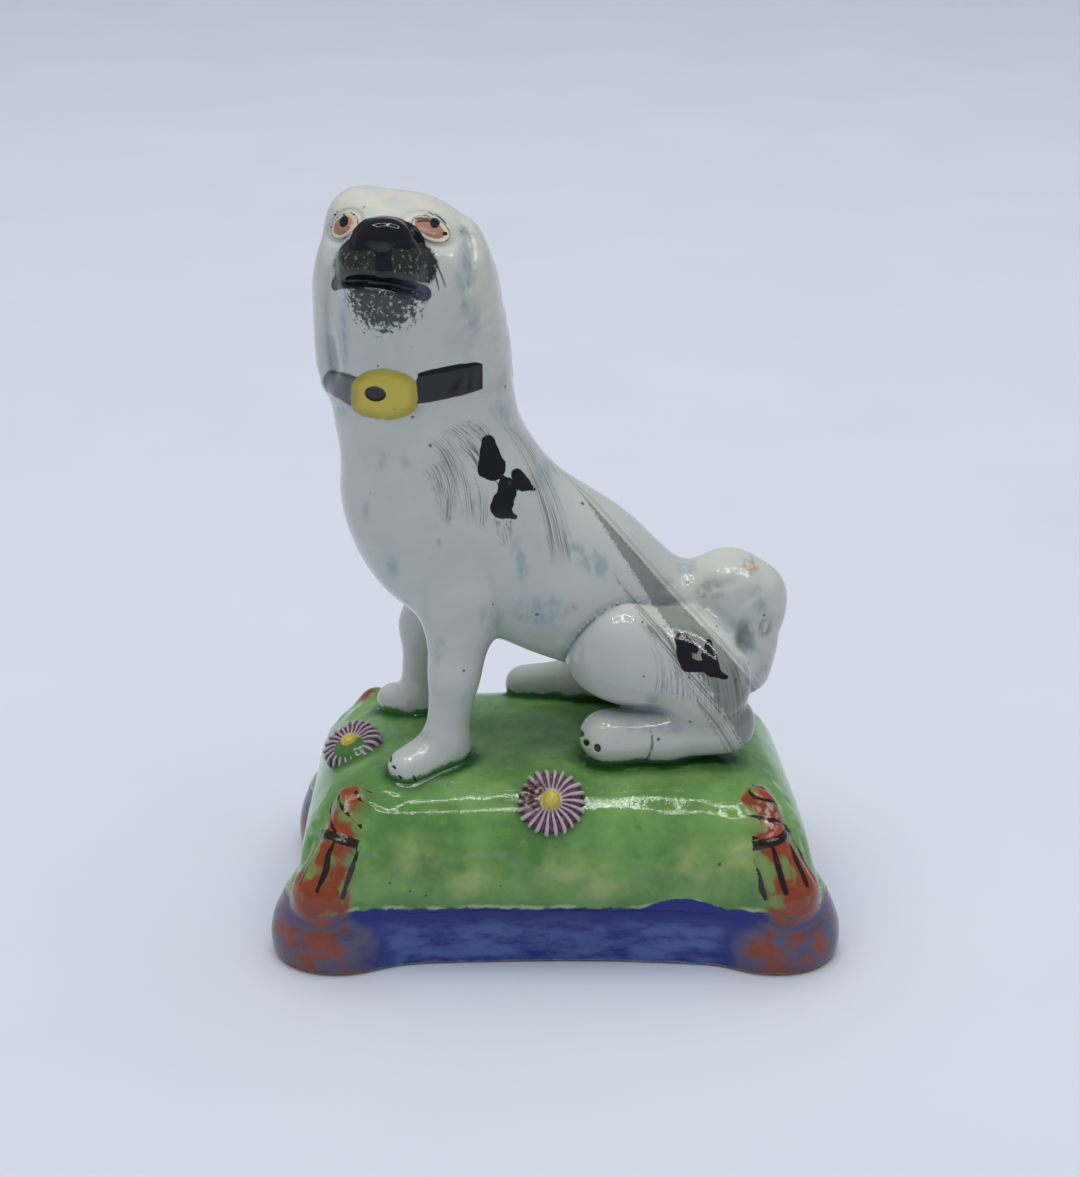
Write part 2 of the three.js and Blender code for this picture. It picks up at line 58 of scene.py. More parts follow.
def limb(P, a, b, ra, rb, flat=None):
    """Round cone from a to b, made thinner along flat = (nx, ny, nz, scale)."""
    a, b = np.array(a, float), np.array(b, float)
    s = 1.0
    if flat is not None:
        n = np.array(flat[:3], float)
        n /= np.linalg.norm(n)
        s = flat[3]
        P = P + np.outer(((P - (a + b) / 2) @ n) * (1 / s - 1), n)
    ba = b - a
    l2 = ba @ ba
    rr = ra - rb
    a2 = l2 - rr * rr
    il2 = 1 / l2
    pa = P - a
    h = pa @ ba
    g = h - l2
    w = pa * l2 - np.outer(h, ba)
    x2 = (w * w).sum(1)
    y2, z2 = h * h * l2, g * g * l2
    k = np.sign(rr) * rr * rr * x2
    d = (np.sqrt(x2 * a2 * il2) + h * rr) * il2 - ra
    d = np.where(np.sign(h) * a2 * y2 < k, np.sqrt(x2 + y2) * il2 - ra, d)
    d = np.where(np.sign(g) * a2 * z2 > k, np.sqrt(x2 + z2) * il2 - rb, d)
    return d * s


def soft(a, b, k):
    w = 1.5 * k
    h = np.maximum(w - np.abs(a - b), 0) / w
    return np.minimum(a, b) - h * h * h * w / 6


def softmax(a, b, k):
    return -soft(-a, -b, k)


def join(k, *f):
    d = f[0]
    for g in f[1:]:
        d = soft(d, g, k)
    return d


def ramp(x, a, b):
    t = np.clip((x - a) / (b - a), 0, 1)
    return t * t * (3 - 2 * t)


def lattice(P, seed):
    """Smooth value noise in -1..1 on a lattice of unit cells."""
    i = np.floor(P).astype(np.int64)
    t = P - i
    t = t * t * t * (t * (t * 6 - 15) + 10)
    out = np.zeros(len(P))
    for dx in (0, 1):
        for dy in (0, 1):
            for dz in (0, 1):
                n = ((i[:, 0] + dx) * 73856093) ^ ((i[:, 1] + dy) * 19349663) ^ ((i[:, 2] + dz) * 83492791) ^ (seed * 2654435761)
                n = (n ^ (n >> 13)) * 1274126177
                n = (n ^ (n >> 16)) & 0xFFFFFF
                v = n / float(0x7FFFFF) - 1.0
                w = (t[:, 0] if dx else 1 - t[:, 0]) * (t[:, 1] if dy else 1 - t[:, 1]) * (t[:, 2] if dz else 1 - t[:, 2])
                out += v * w
    return out


def waves(P, size, seed, octaves=2):
    out, amp, s = 0, 1.0, size
    for o in range(octaves):
        out = out + amp * lattice(P / s + 17.3 * (o + 1), seed + o)
        amp, s = amp * 0.5, s * 0.5
    return out


# ------------------------------------------------------------------ sizes shared with the solids
GAP = 0.3
BASE = dict(halfLength=41.0, halfWidth=26.6, cornerRadius=9, waist=14, lean=0.0165, flare=0.14, top=30.2,
            crownX=0.0011, crownY=0.0016, shoulder=9.5, bandHeight=10.4, bandLength=40.2, bandWidth=24.2,
            bandCorner=12, bandHollow=0.0024, bandHollowEnd=0.004, backNarrow=0.05, skew=0.03)
PAD = dict(x=35.2, y=18.9, z=3, r=(10.5, 10.2, 11.6), backShift=(1.5, 3.8))
TASSEL = dict(knot=(32.0, 19.0, 25.6), tie=(34.2, 23.6, 20.2), hem=(36.6, 24.0, 12.4), rKnot=2.9, rTie=2.7, rHem=5.2)
DAISY_FRONT = dict(at=(-0.8, -22.0, 27.9), face=(0.0, -0.74, 0.67), radius=5.1, petals=22)
DAISY_LEFT = dict(at=(-33.6, -3.6, 29.4), face=(-0.36, -0.42, 0.83), radius=4.7, petals=22)
DAISY = dict(thick=2.3, dish=0.5, ridge=0.32, button=1.45)
CHEST = dict(at=(-14.6, -2.0, 66.8), r=16.0, low=(-19.1, -2.2, 74.4), lowR=14.6)
RUMP = dict(at=(16.8, 2.6, 47.4), r=10.6)
NECK = dict(at=(-21.0, -1.4, 92.0), r=12.4)
HEAD = dict(at=(-23.2, -0.8, 105.4), r=(12.6, 11.8, 13.4))
GAZE = dict(yaw=-8, pitch=18)
MUZZLE = np.array((-26.1, -13.2, 111.0))

_y, _p = math.radians(GAZE["yaw"]), math.radians(GAZE["pitch"])
LOOK_F = np.array([math.sin(_y) * math.cos(_p), -math.cos(_y) * math.cos(_p), math.sin(_p)])
LOOK_S = np.array([math.cos(_y), math.sin(_y), 0.0])
LOOK_T = np.array([LOOK_F[1] * LOOK_S[2] - LOOK_F[2] * LOOK_S[1], LOOK_F[2] * LOOK_S[0] - LOOK_F[0] * LOOK_S[2],
                   LOOK_F[0] * LOOK_S[1] - LOOK_F[1] * LOOK_S[0]])
LOOK = np.stack([LOOK_S, LOOK_F, LOOK_T], 1)


def on_muzzle(s, t, f):
    return MUZZLE + s * LOOK_S + t * LOOK_T + f * LOOK_F


# ------------------------------------------------------------------ the dog, large forms
def torso_field(P):
    body = limb(P, CHEST["at"], RUMP["at"], CHEST["r"], RUMP["r"], (-0.14, 0.99, 0, 0.84))
    breast = limb(P, NECK["at"], CHEST["low"], NECK["r"], CHEST["lowR"], (0, 1, 0, 0.9))
    loin = ball(P, (3.2, 0.8, 58.6), (12.6, 11.0, 9.4), (0, 38, 0))
    seat = ball(P, (20, 2.6, 40.5), (10.4, 10.4, 11.4))
    return join(6, body, breast, loin, seat)


def head_field(P):
    skull = ball(P, HEAD["at"], HEAD["r"])
    crown = ball(P, (-30.1, 0.4, 115.2), (5.0, 7.2, 5.0))
    brow = ball(P, (-23.2, -1.6, 113.4), (8.6, 8.8, 5.4), (0, 6, 0))
    hair = limb(P, (-22.7, -0.8, 103), (-21.3, -1.2, 90), 12.9, 11.7, (0, 1, 0, 0.92))
    snout = limb(P, on_muzzle(0, -1.0, -8), on_muzzle(0, -0.8, -1.8), 7.8, 6.1, (*LOOK_T, 1.05))
    lip_l = ball(P, on_muzzle(-2.7, 1.4, -0.4), (4.0, 4.6, 4.8), LOOK)
    lip_r = ball(P, on_muzzle(2.5, 1.3, -0.4), (4.0, 4.6, 4.8), LOOK)
    bridge = limb(P, on_muzzle(0, 5.2, -6), on_muzzle(0.2, 4.9, 0.2), 3.8, 3.2)
    nose = ball(P, on_muzzle(0.3, 5.3, 2.4), (4.5, 2.7, 2.9), LOOK)
    chin = ball(P, on_muzzle(0.2, -4.2, -1.8), (5.0, 4.6, 4.6), LOOK)
    throat = limb(P, on_muzzle(0.2, -5, -4.6), (-23.6, -4.6, 92), 6.6, 8.8)
    cheek_r = ball(P, (-17.8, -8.0, 106.4), (6.0, 6.0, 8.2), (0, 12, 0))
    cheek_l = ball(P, (-32.0, -5.2, 106), (4.6, 6.2, 8.4), (0, -6, 0))
    ear_near = ball(P, (-12.5, -1.5, 101.2), (4.0, 8.8, 14.6), (0, -5, 8))
    ear_far = ball(P, (-33.7, 0.6, 102.6), (3.3, 8.2, 13.2), (0, 4, -6))
    f = join(4, skull, crown, brow, hair, throat)
    f = join(3, f, cheek_r, cheek_l)
    f = join(2.2, f, join(2.4, snout, bridge, lip_l, lip_r))
    f = join(1.6, f, chin, nose)
    return join(1.4, f, ear_near, ear_far)


def fore_near(P):
    return join(2.4, limb(P, (-14.6, -8.6, 58), (-16.1, -10.8, 44.5), 7.0, 3.7),
                limb(P, (-16.1, -10.8, 44.5), (-17.3, -10.6, 34.8), 3.7, 3.5),
                limb(P, (-17.6, -10.0, 31.6), (-23.4, -14.1, 29.7), 4.1, 3.4, (0, 0, 1, 0.92)))


def fore_far(P):
    return join(2.4, limb(P, (-16.6, 6.0, 58), (-21.7, 8.6, 45), 7.0, 3.5),
                limb(P, (-21.7, 8.6, 45), (-22.2, 9.2, 35), 3.5, 3.1),
                limb(P, (-22.6, 9.4, 31.2), (-26.6, 11.4, 30.0), 3.9, 3.3, (0, 0, 1, 0.92)))


def hind_near(P):
    return join(4, ball(P, (14.4, -6.2, 46.2), (12.8, 8.9, 8.6), (0, -2, 0)),
                ball(P, (9.4, -9.8, 49.6), (5.4, 5.3, 6.8), (0, 24, 0)),
                ball(P, (24.2, -8.5, 42.3), (7.0, 8.2, 7.8), (0, 20, 0)))


def foot_near(P):
    return join(2, limb(P, (27.1, -8.8, 35.1), (17.3, -10.2, 33.9), 5.0, 4.0),
                limb(P, (17.3, -10.2, 33.9), (8.3, -11.0, 33.9), 4.0, 4.5, (0, 0, 1, 0.95)))


def hind_far(P):
    return join(4, ball(P, (14.0, 11.6, 45.4), (13.2, 8.4, 8.8), (0, -8, 0)),
                ball(P, (8.4, 13.4, 43.6), (6.4, 5.4, 6.4), (0, 25, 0)),
                ball(P, (23.6, 12.0, 43.0), (7.4, 7.4, 9.6), (0, 12, 0)))


def foot_far(P):
    return join(2, limb(P, (25.0, 12.6, 34.8), (4, 15.4, 32.2), 4.6, 3.6),
                limb(P, (4, 15.4, 32.2), (-5.0, 16.0, 31.0), 3.6, 3.4, (0, 0, 1, 0.94)))


def tail_field(P):
    return join(2.6, limb(P, (19, 2.4, 50), (27.6, 1.0, 55.1), 6.2, 5.5),
                limb(P, (27.6, 1.0, 55.1), (30.7, 1.0, 52.5), 5.5, 6.1),
                limb(P, (30.7, 1.0, 52.5), (31.0, 0.2, 40.6), 6.1, 3.7),
                ball(P, (27.1, -1.6, 45.6), (7.8, 4.4, 8.4)))


def dog_field(P):
    f = join(6, torso_field(P), head_field(P))
    f = join(3.4, f, fore_near(P))
    f = join(3.4, f, fore_far(P))
    f = join(0.8, f, join(1.0, hind_near(P), foot_near(P)))
    f = join(3.0, f, tail_field(P))
    return join(1.0, f, join(1.0, hind_far(P), foot_far(P)))


# ------------------------------------------------------------------ the cushion, large forms
def slab(x, y, hx, hy, r):
    qx, qy = np.abs(x) - hx + r, np.abs(y) - hy + r
    return np.hypot(np.maximum(qx, 0), np.maximum(qy, 0)) + np.minimum(np.maximum(qx, qy), 0) - r


def corners():
    """The four corners: sign of x, sign of y and how far the corner is shifted in."""
    return [(sx, sy, PAD["backShift"][0 if sx < 0 else 1] if sy > 0 else 0) for sx in (-1, 1) for sy in (-1, 1)]


def at_corner(p, sx, sy, back):
    return np.array([(p[0] - back) * sx, p[1] * sy, p[2]])


def pads_field(P):
    return join(2.5, *[ball(P, ((PAD["x"] - b) * sx, PAD["y"] * sy, PAD["z"]), PAD["r"]) for sx, sy, b in corners()])


def tassels_field(P):
    out = []
    for c in corners():
        knot, tie, hem = (at_corner(TASSEL[k], *c) for k in ("knot", "tie", "hem"))
        out.append(join(1.2, limb(P, knot, tie, TASSEL["rKnot"], TASSEL["rTie"]), limb(P, tie, hem, TASSEL["rTie"], TASSEL["rHem"])))
    return join(0.8, *out)


def pillow_xy(P):
    y = P[:, 1]
    return (P[:, 0] + BASE["skew"] * (y + 14)) * (1 + BASE["backNarrow"] * np.maximum(0, y + 14) / 40), y


def pillow_field(P):
    """The cushion without band, pads and tassels."""
    x, y = pillow_xy(P)
    z = P[:, 2]
    up = z - BASE["waist"]
    lean = np.where(up > 0, BASE["lean"] * up * up + BASE["flare"] * up * 0.5, 0.03 * up * up)
    side = slab(x, y, BASE["halfLength"] - lean, BASE["halfWidth"] - lean, BASE["cornerRadius"])
    top = z - (BASE["top"] - BASE["crownX"] * x * x - BASE["crownY"] * y * y)
    return -soft(-side, -top, BASE["shoulder"])


def band_field(P):
    x, y = pillow_xy(P)
    hx = BASE["bandLength"] + BASE["bandHollowEnd"] * y * y
    hy = BASE["bandWidth"] + BASE["bandHollow"] * x * x
    return np.maximum(slab(x, y, hx, hy, BASE["bandCorner"]), P[:, 2] - BASE["bandHeight"] - 1)


def cushion_field(P):
    d = np.maximum(pillow_field(P), BASE["bandHeight"] - P[:, 2])
    d = soft(d, band_field(P), 1.2)
    d = soft(d, pads_field(P), 3)
    d = soft(d, tassels_field(P), 1.4)
    return np.maximum(d, -P[:, 2])


# ------------------------------------------------------------------ the plane that the painter worked in
# p runs to the right of the side that the dog shows, q up it; both in mm, fixed in the object.
TILT = math.radians(22)
PLANE_P = np.array([1.0, 0.0, 0.0])
PLANE_Q = np.array([0.0, math.sin(TILT), math.cos(TILT)])
SIGHT = dict(at=(-2.5, -417.3, 223.4), focal=2800.0, centre=(540.0, 588.5))
_ahead = np.array([0.0, math.cos(TILT), -math.sin(TILT)])
MM = 1 / 5.98                                        # mm on the object for one unit of the drawing below


def plane(P):
    return np.stack([P @ PLANE_P, P @ PLANE_Q], 1)


def land(F, marks):
    """Where marks, given as (right, down) on the drawing, land on the surface F = 0."""
    uv = np.array(marks, float)
    d = np.outer((uv[:, 0] - SIGHT["centre"][0]) / SIGHT["focal"], PLANE_P) \
        + np.outer((SIGHT["centre"][1] - uv[:, 1]) / SIGHT["focal"], PLANE_Q) + _ahead
    d /= np.linalg.norm(d, axis=1)[:, None]
    C = np.array(SIGHT["at"])
    t = np.full(len(d), 380.0)
    for _ in range(90):
        t += np.clip(F(C + d * t[:, None]), -2, 8) * 0.85
    return C + d * t[:, None]


DRAWN, _where = [], {}


def mark(u, v):
    DRAWN.append((float(u), float(v)))
    return (float(u), float(v))


def on_plane(m):
    return _where[m][0]


def on_body(m):
    return _where[m][1]


def settle_marks(F):
    todo = sorted(set(DRAWN) - set(_where))
    P = land(F, todo)
    Q = plane(P)
    for m, a, b in zip(todo, Q, P):
        _where[m] = (a, b)


def oval(Q, c, rx, ry, deg=0.0):
    """Signed distance to an ellipse on the plane, radii in drawing units."""
    a = math.radians(deg)
    d = Q - c
    x, y = d[:, 0] * math.cos(a) + d[:, 1] * math.sin(a), -d[:, 0] * math.sin(a) + d[:, 1] * math.cos(a)
    rx, ry = rx * MM, ry * MM
    k0 = np.sqrt((x / rx) ** 2 + (y / ry) ** 2)
    k1 = np.sqrt((x / rx ** 2) ** 2 + (y / ry ** 2) ** 2)
    return np.where(k1 > 1e-9, k0 * (k0 - 1) / np.maximum(k1, 1e-9), -min(rx, ry))


def bar(Q, a, b, ra, rb=None):
    """Signed distance to a stroke from a to b whose half width runs from ra to rb, in drawing units."""
    rb = ra if rb is None else rb
    a, b = np.array(a, float), np.array(b, float)
    ab = b - a
    t = np.clip((Q - a) @ ab / max(ab @ ab, 1e-9), 0, 1)
    return np.linalg.norm(Q - a - t[:, None] * ab, axis=1) - (ra + (rb - ra) * t) * MM


def bow(a, b, c, n=10):
    """Points of a quadratic curve from a to c, pulled to b."""
    t = np.linspace(0, 1, n)[:, None]
    return (1 - t) ** 2 * np.array(a) + 2 * t * (1 - t) * np.array(b) + t * t * np.array(c)


def along(Q, pts):
    """Distance to a curve and how far along it the nearest point is, 0 to 1."""
    best, s = np.full(len(Q), 1e9), np.zeros(len(Q))
    n = len(pts) - 1
    for i in range(n):
        ab = pts[i + 1] - pts[i]
        t = np.clip((Q - pts[i]) @ ab / max(ab @ ab, 1e-9), 0, 1)
        d = np.linalg.norm(Q - pts[i] - t[:, None] * ab, axis=1)
        m = d < best
        best[m] = d[m]
        s[m] = (i + t[m]) / n
    return best, s


def line(Q, a, b, c, width, depth, fade=0.12):
    """A groove with soft ends, as a height."""
    d, s = along(Q, bow(a, b, c))
    return depth * np.exp(-(d / width) ** 2) * ramp(s, -0.01, fade) * ramp(1 - s, -0.01, fade)


# marks of the head
EYE_L = dict(c=mark(344, 226), rx=11.0, ry=8.4, deg=38, pupil=mark(344, 222))
EYE_R = dict(c=mark(431, 229), rx=15.5, ry=8.6, deg=-28, pupil=mark(435, 223))
MOUTH = (mark(338, 281), mark(384, 280), mark(423, 293))
CLEFT = (mark(383, 246), mark(382, 262), mark(384, 277))
NOSE_TOP = mark(385, 247)
EAR_EDGE = (mark(462, 224), mark(474, 256), mark(466, 300))
EAR_BACK = (mark(478, 238), mark(490, 280), mark(478, 335))
EAR_FAR = (mark(333, 262), mark(325, 330), mark(339, 388))
JOWL = (mark(437, 250), mark(452, 292), mark(436, 338))
COLLAR = [mark(331, 386), mark(345, 392), mark(384, 396), mark(418, 390), mark(448, 384), mark(479, 377)]
BUCKLE = mark(384, 395)
HOLE = mark(375.5, 394)
# marks of the body
ELBOW = (mark(481, 566), mark(507, 598), mark(496, 634))
ELBOW_FRONT = (mark(428, 586), mark(427, 606), mark(430, 628))
WRISTS = [(mark(440, 634), mark(452, 641), mark(466, 636)), (mark(443, 650), mark(455, 655), mark(467, 652))]
HOLLOW = mark(745, 640)
DENT = mark(765, 627)
FOLDS = [(mark(700, 584), mark(722, 590), mark(742, 577)), (mark(738, 609), mark(746, 596), mark(763, 590)),
         (mark(747, 618), mark(738, 632), mark(742, 656)), (mark(742, 656), mark(744, 676), mark(749, 690)),
         (mark(706, 566), mark(735, 556), mark(760, 566))]
CRACK = (mark(650, 730), mark(657, 747), mark(643, 765))
CLAWS_HIND = [mark(581, 734), mark(586.5, 743), mark(597.5, 748)]
CLAWS_FORE = [(mark(391.5, 757), mark(390.5, 761)), (mark(393, 766), mark(395, 768)), (mark(399, 776), mark(401, 778)),
              (mark(413.5, 776), mark(416, 781))]
PITS = [(mark(573, 606), 3.4, 0.28), (mark(705, 607), 2.0, 0.35), (mark(383, 482), 4.4, 0.10), (mark(754, 563), 3.2, 0.2),
        (mark(411, 600), 5.5, 0.18), (mark(668, 585), 4.0, 0.2)]


def eye_coords(Q, e):
    a = math.radians(e["deg"])
    d = (Q - on_plane(e["c"])) / MM
    return d[:, 0] * math.cos(a) + d[:, 1] * math.sin(a), -d[:, 0] * math.sin(a) + d[:, 1] * math.cos(a)


def near_side(P, m, reach=7.0):
    """1 close to where the mark lies on the body, 0 well away from it."""
    return ramp(np.linalg.norm(P - on_body(m), axis=1), reach, reach * 0.6)


def head_relief(P):
    """Height added to the head, in mm; negative where the clay is cut back."""
    Q = plane(P)
    h = np.zeros(len(P))
    for e in (EYE_L, EYE_R):
        x, y = eye_coords(Q, e)
        r = np.sqrt((x / e["rx"]) ** 2 + (y / e["ry"]) ** 2)
        h += near_side(P, e["c"], 7.5) * (0.42 * np.clip(1 - r * r, 0, 1) + 0.20 * np.exp(-((r - 1.12) / 0.16) ** 2)
                                          - 0.26 * np.exp(-((r - 1.55) / 0.26) ** 2))
    face = ramp(P[:, 1], -10.5, -12.5)
    d, s = along(Q, bow(*[on_plane(m) for m in MOUTH]))
    ends = ramp(s, -0.02, 0.16) * ramp(1 - s, -0.02, 0.2)
    h += face * (-1.25 * np.exp(-(d / 0.75) ** 2) * ends + 0.16 * np.exp(-((d - 1.9) / 0.7) ** 2) * ends)
    h -= face * line(Q, *[on_plane(m) for m in CLEFT], 0.75, 0.42)
    n = on_body(NOSE_TOP)
    nose = oval(Q, on_plane(NOSE_TOP), 31, 29)
    h -= face * 0.34 * np.exp(-(nose / 0.6) ** 2) * ramp(Q[:, 1], on_plane(NOSE_TOP)[1] - 1.2, on_plane(NOSE_TOP)[1] + 1.0) * ramp(P[:, 2], n[2] + 7, n[2] + 4)
    near = ramp(P[:, 0], -19, -17) * ramp(P[:, 1], 6, 1)
    h -= near * line(Q, *[on_plane(m) for m in EAR_EDGE], 0.95, 0.75, 0.2)
    h += near * line(Q, *[on_plane(m) for m in EAR_BACK], 1.5, 0.30, 0.3)
    h -= ramp(P[:, 0], -29, -31) * line(Q, *[on_plane(m) for m in EAR_FAR], 0.85, 0.5, 0.2)
    h -= ramp(P[:, 1], -7, -10) * line(Q, *[on_plane(m) for m in JOWL], 2.2, 0.30, 0.35)
    return h


def locks(P, across, size, seed):
    """Rounded locks of hair lying side by side along lines of equal `across`."""
    a = across / size + 0.9 * lattice(P / 5.5, seed)
    v = 0.5 + 0.5 * np.cos(2 * math.pi * a)
    return (v ** 0.7 - 0.55) * (0.65 + 0.35 * lattice(P / 4.0, seed + 3))


def dog_relief(P):
    Q = plane(P)
    h = -0.11 * waves(P, 9.0, 5) - 0.035 * waves(P, 3.2, 9)
    up = P[:, 2] > 86
    if up.any():
        h[up] += head_relief(P[up])
    # hair of the ears and the neck, lying down and forwards on the near side, straight down behind
    near = ramp(P[:, 0], -17.5, -13.5)
    slant = (Q[:, 0] * 0.90 - Q[:, 1] * 0.42)
    ears = near * ramp(P[:, 2], 87, 91.5) * ramp(P[:, 2], 112, 106) * ramp(P[:, 1], 9, 5)
    h += 0.26 * ears * locks(P, slant, 2.7, 21)
    back = ramp(P[:, 1], 3, 7) * ramp(P[:, 2], 84, 92) * ramp(P[:, 2], 117, 110)
    h += 0.2 * back * locks(P, P[:, 0] + 0.2 * P[:, 2], 3.2, 27)
    # collar, a flat strap in low relief
    d, s = along(Q, np.array([on_plane(m) for m in COLLAR]))
    front = ramp(P[:, 1], 4, 0) * ramp(np.abs(P[:, 2] - 92.5), 9, 7)
    h += 0.24 * front * ramp(d, 2.35, 1.95)
    h += 0.16 * front * ramp(oval(Q, on_plane(BUCKLE), 31, 21.5), 0.3, -0.3)
    h -= 0.3 * front * ramp(oval(Q, on_plane(HOLE), 9.5, 6.3), 0.25, -0.35)
    # legs
    leg = ramp(P[:, 1], -6, -8) * ramp(P[:, 2], 70, 66)
    h -= leg * line(Q, *[on_plane(m) for m in ELBOW], 0.55, 0.42, 0.2)
    h -= leg * line(Q, *[on_plane(m) for m in ELBOW_FRONT], 0.8, 0.25, 0.3)
    for w in WRISTS:
        h -= leg * line(Q, *[on_plane(m) for m in w], 0.9, 0.16, 0.3)
    # tail
    tail = ramp(P[:, 0], 17, 21) * ramp(P[:, 1], 2, -1)
    for i, w in enumerate(FOLDS):
        h -= tail * line(Q, *[on_plane(m) for m in w], 0.75, (0.34, 0.40, 0.75, 0.55, 0.20)[i], 0.25)
    h -= tail * 0.85 * np.exp(-(np.clip(oval(Q, on_plane(HOLLOW), 6.5, 13, 8) + 0.8, 0, 9) / 0.8) ** 2)
    h -= tail * 0.45 * ramp(np.abs(oval(Q, on_plane(DENT), 4.4, 7.5, -12)), 0.55, 0.1)
    h += 0.16 * ramp(P[:, 0], 24, 28) * ramp(P[:, 2], 62, 58) * ramp(P[:, 2], 40, 44) * locks(P, np.hypot(P[:, 0] - 22, P[:, 2] - 44), 3.4, 33)
    # crack, claws, chips
    foot = ramp(P[:, 1], -6, -8) * ramp(P[:, 2], 42, 39)
    h -= foot * line(Q, *[on_plane(m) for m in CRACK], 0.26, 0.30, 0.08)
    for c in CLAWS_HIND:
        h -= foot * 0.34 * ramp(oval(Q, on_plane(c), 3.2, 3.8, 20), 0.2, -0.3)
    for m, r, deep in PITS:
        h -= near_side(P, m, 4.5) * deep * ramp(oval(Q, on_plane(m), r * 1.2, r * 0.8, 25) + 0.15 * lattice(P / 0.9, 3), 0.25, -0.35)
    return h


def dog_surface(P):
    """The dog with its relief. It runs a little way into the cushion, where it was stuck down."""
    base = join(6, torso_field(P), head_field(P))
    base = join(3.4, base, fore_near(P))
    base = join(3.4, base, fore_far(P))
    tail = tail_field(P)
    hn = join(1.0, hind_near(P), foot_near(P))
    hf = join(1.0, hind_far(P), foot_far(P))
    f = join(1.0, join(3.0, join(0.45, base, hn), tail), hf)
    close = np.abs(f) < 2.6
    if close.any():
        Z = P[close]
        seam = 0.40 * np.exp(-((base[close] - hn[close]) / 0.32) ** 2) * ramp(Z[:, 1], -2, -5) * ramp(tail[close] - f[close], 0.4, 2.2) \
            + 0.25 * np.exp(-((base[close] - hf[close]) / 0.6) ** 2) * ramp(Z[:, 1], 6, 9)
        f = f.copy()
        f[close] -= dog_relief(Z) - seam
    return np.maximum(f, -0.55 - cushion_field(P))


# ------------------------------------------------------------------ the cushion's relief
PUCKERS = [mark(421, 858), mark(560, 872), mark(603, 884), mark(690, 868), mark(487, 886)]
MOUND = np.array(DAISY_LEFT["at"]) - 1.9 * np.array(DAISY_LEFT["face"])


def tassel_coords(P, corner):
    """How far down the tassel from the knot, in mm, the angle round it in radians (0 outwards) and the distance from its axis."""
    knot, tie, hem = (at_corner(TASSEL[k], *corner) for k in ("knot", "tie", "hem"))
    axis = (hem - knot) / np.linalg.norm(hem - knot)
    out = np.array([corner[0] * 0.75, corner[1] * 0.66, 0.0])
    out -= (out @ axis) * axis
    out /= np.linalg.norm(out)
    side = np.cross(axis, out)
    d = P - knot
    s = d @ axis
    a, b = d @ out, d @ side
    return s, np.arctan2(b, a), np.hypot(a, b)


def cushion_relief(P):
    h = -0.20 * waves(P, 15.0, 41) - 0.055 * waves(P, 5.0, 47)
    green = ramp(P[:, 2], 10.5, 12.5)
    for i, m in enumerate(PUCKERS):
        c = on_body(m)
        d = np.sqrt(((P[:, 0] - c[0]) / 1.5) ** 2 + (P[:, 1] - c[1]) ** 2 + (P[:, 2] - c[2]) ** 2)
        h += green * (0.34 * np.exp(-(d / 2.2) ** 2) - 0.22 * np.exp(-((d - 4.2) / 1.5) ** 2))
    for c in corners():
        s, a, r = tassel_coords(P, c)
        near = ramp(r, 8.0, 6.0) * ramp(s, -4.5, -3.0)
        skirt = near * ramp(s, 6.6, 8.0) * ramp(s, 16.5, 13.0)
        h += skirt * 0.30 * (np.abs(np.cos(a * 5.0 + 0.3)) ** 0.8 - 0.6)
        cord = np.exp(-((s - 5.6) / 0.75) ** 2) * 0.42 - np.exp(-((s - 5.6) / 2.0) ** 2) * 0.30
        h += near * cord
        h += near * ramp(s, 4.4, 3.0) * 0.16 * np.cos(a * 3 + s * 0.9)
    low = ramp(P[:, 2], 9.0, 6.5)
    h -= low * 0.10 * waves(P, 6.0, 61)
    h -= 0.30 * ramp(P[:, 2], 1.3, 0.2)                 # the edge it stands on is rubbed round
    h += 0.20 * np.exp(-((P[:, 2] - 10.6) / 0.55) ** 2) * (1 + 0.5 * lattice(P / 4.0, 71))   # lip between the green and the band
    return h


def cushion_surface(P):
    f = np.maximum(pillow_field(P), BASE["bandHeight"] - P[:, 2])
    f = soft(f, band_field(P), 1.2)
    f = soft(f, pads_field(P), 3)
    f = soft(f, tassels_field(P), 1.4)
    # clay and glaze drawn up against the feet and under the left daisy
    near = (f < 4.0) & (f > -2.5) & (P[:, 2] > 20)
    if near.any():
        Z = P[near]
        g = f[near]
        f = f.copy()
        g = np.where(g < 3.0, soft(g, np.maximum(dog_field(Z) + 0.40, g - 1.6), 1.5), g)
        g = soft(g, ball(Z, MOUND, (4.2, 3.8, 2.2), (0, -18, 0)), 1.6)
        f[near] = g
    close = np.abs(f) < 2.6
    if close.any():
        f = f.copy()
        f[close] -= cushion_relief(P[close])
    return np.maximum(f, -P[:, 2])


# ------------------------------------------------------------------ the daisies
def daisy_axes(D):
    n = np.array(D["face"], float)
    n /= np.linalg.norm(n)
    e = np.array([1.0, 0, 0]) - n[0] * n
    e /= np.linalg.norm(e)
    return e, np.cross(n, e), n


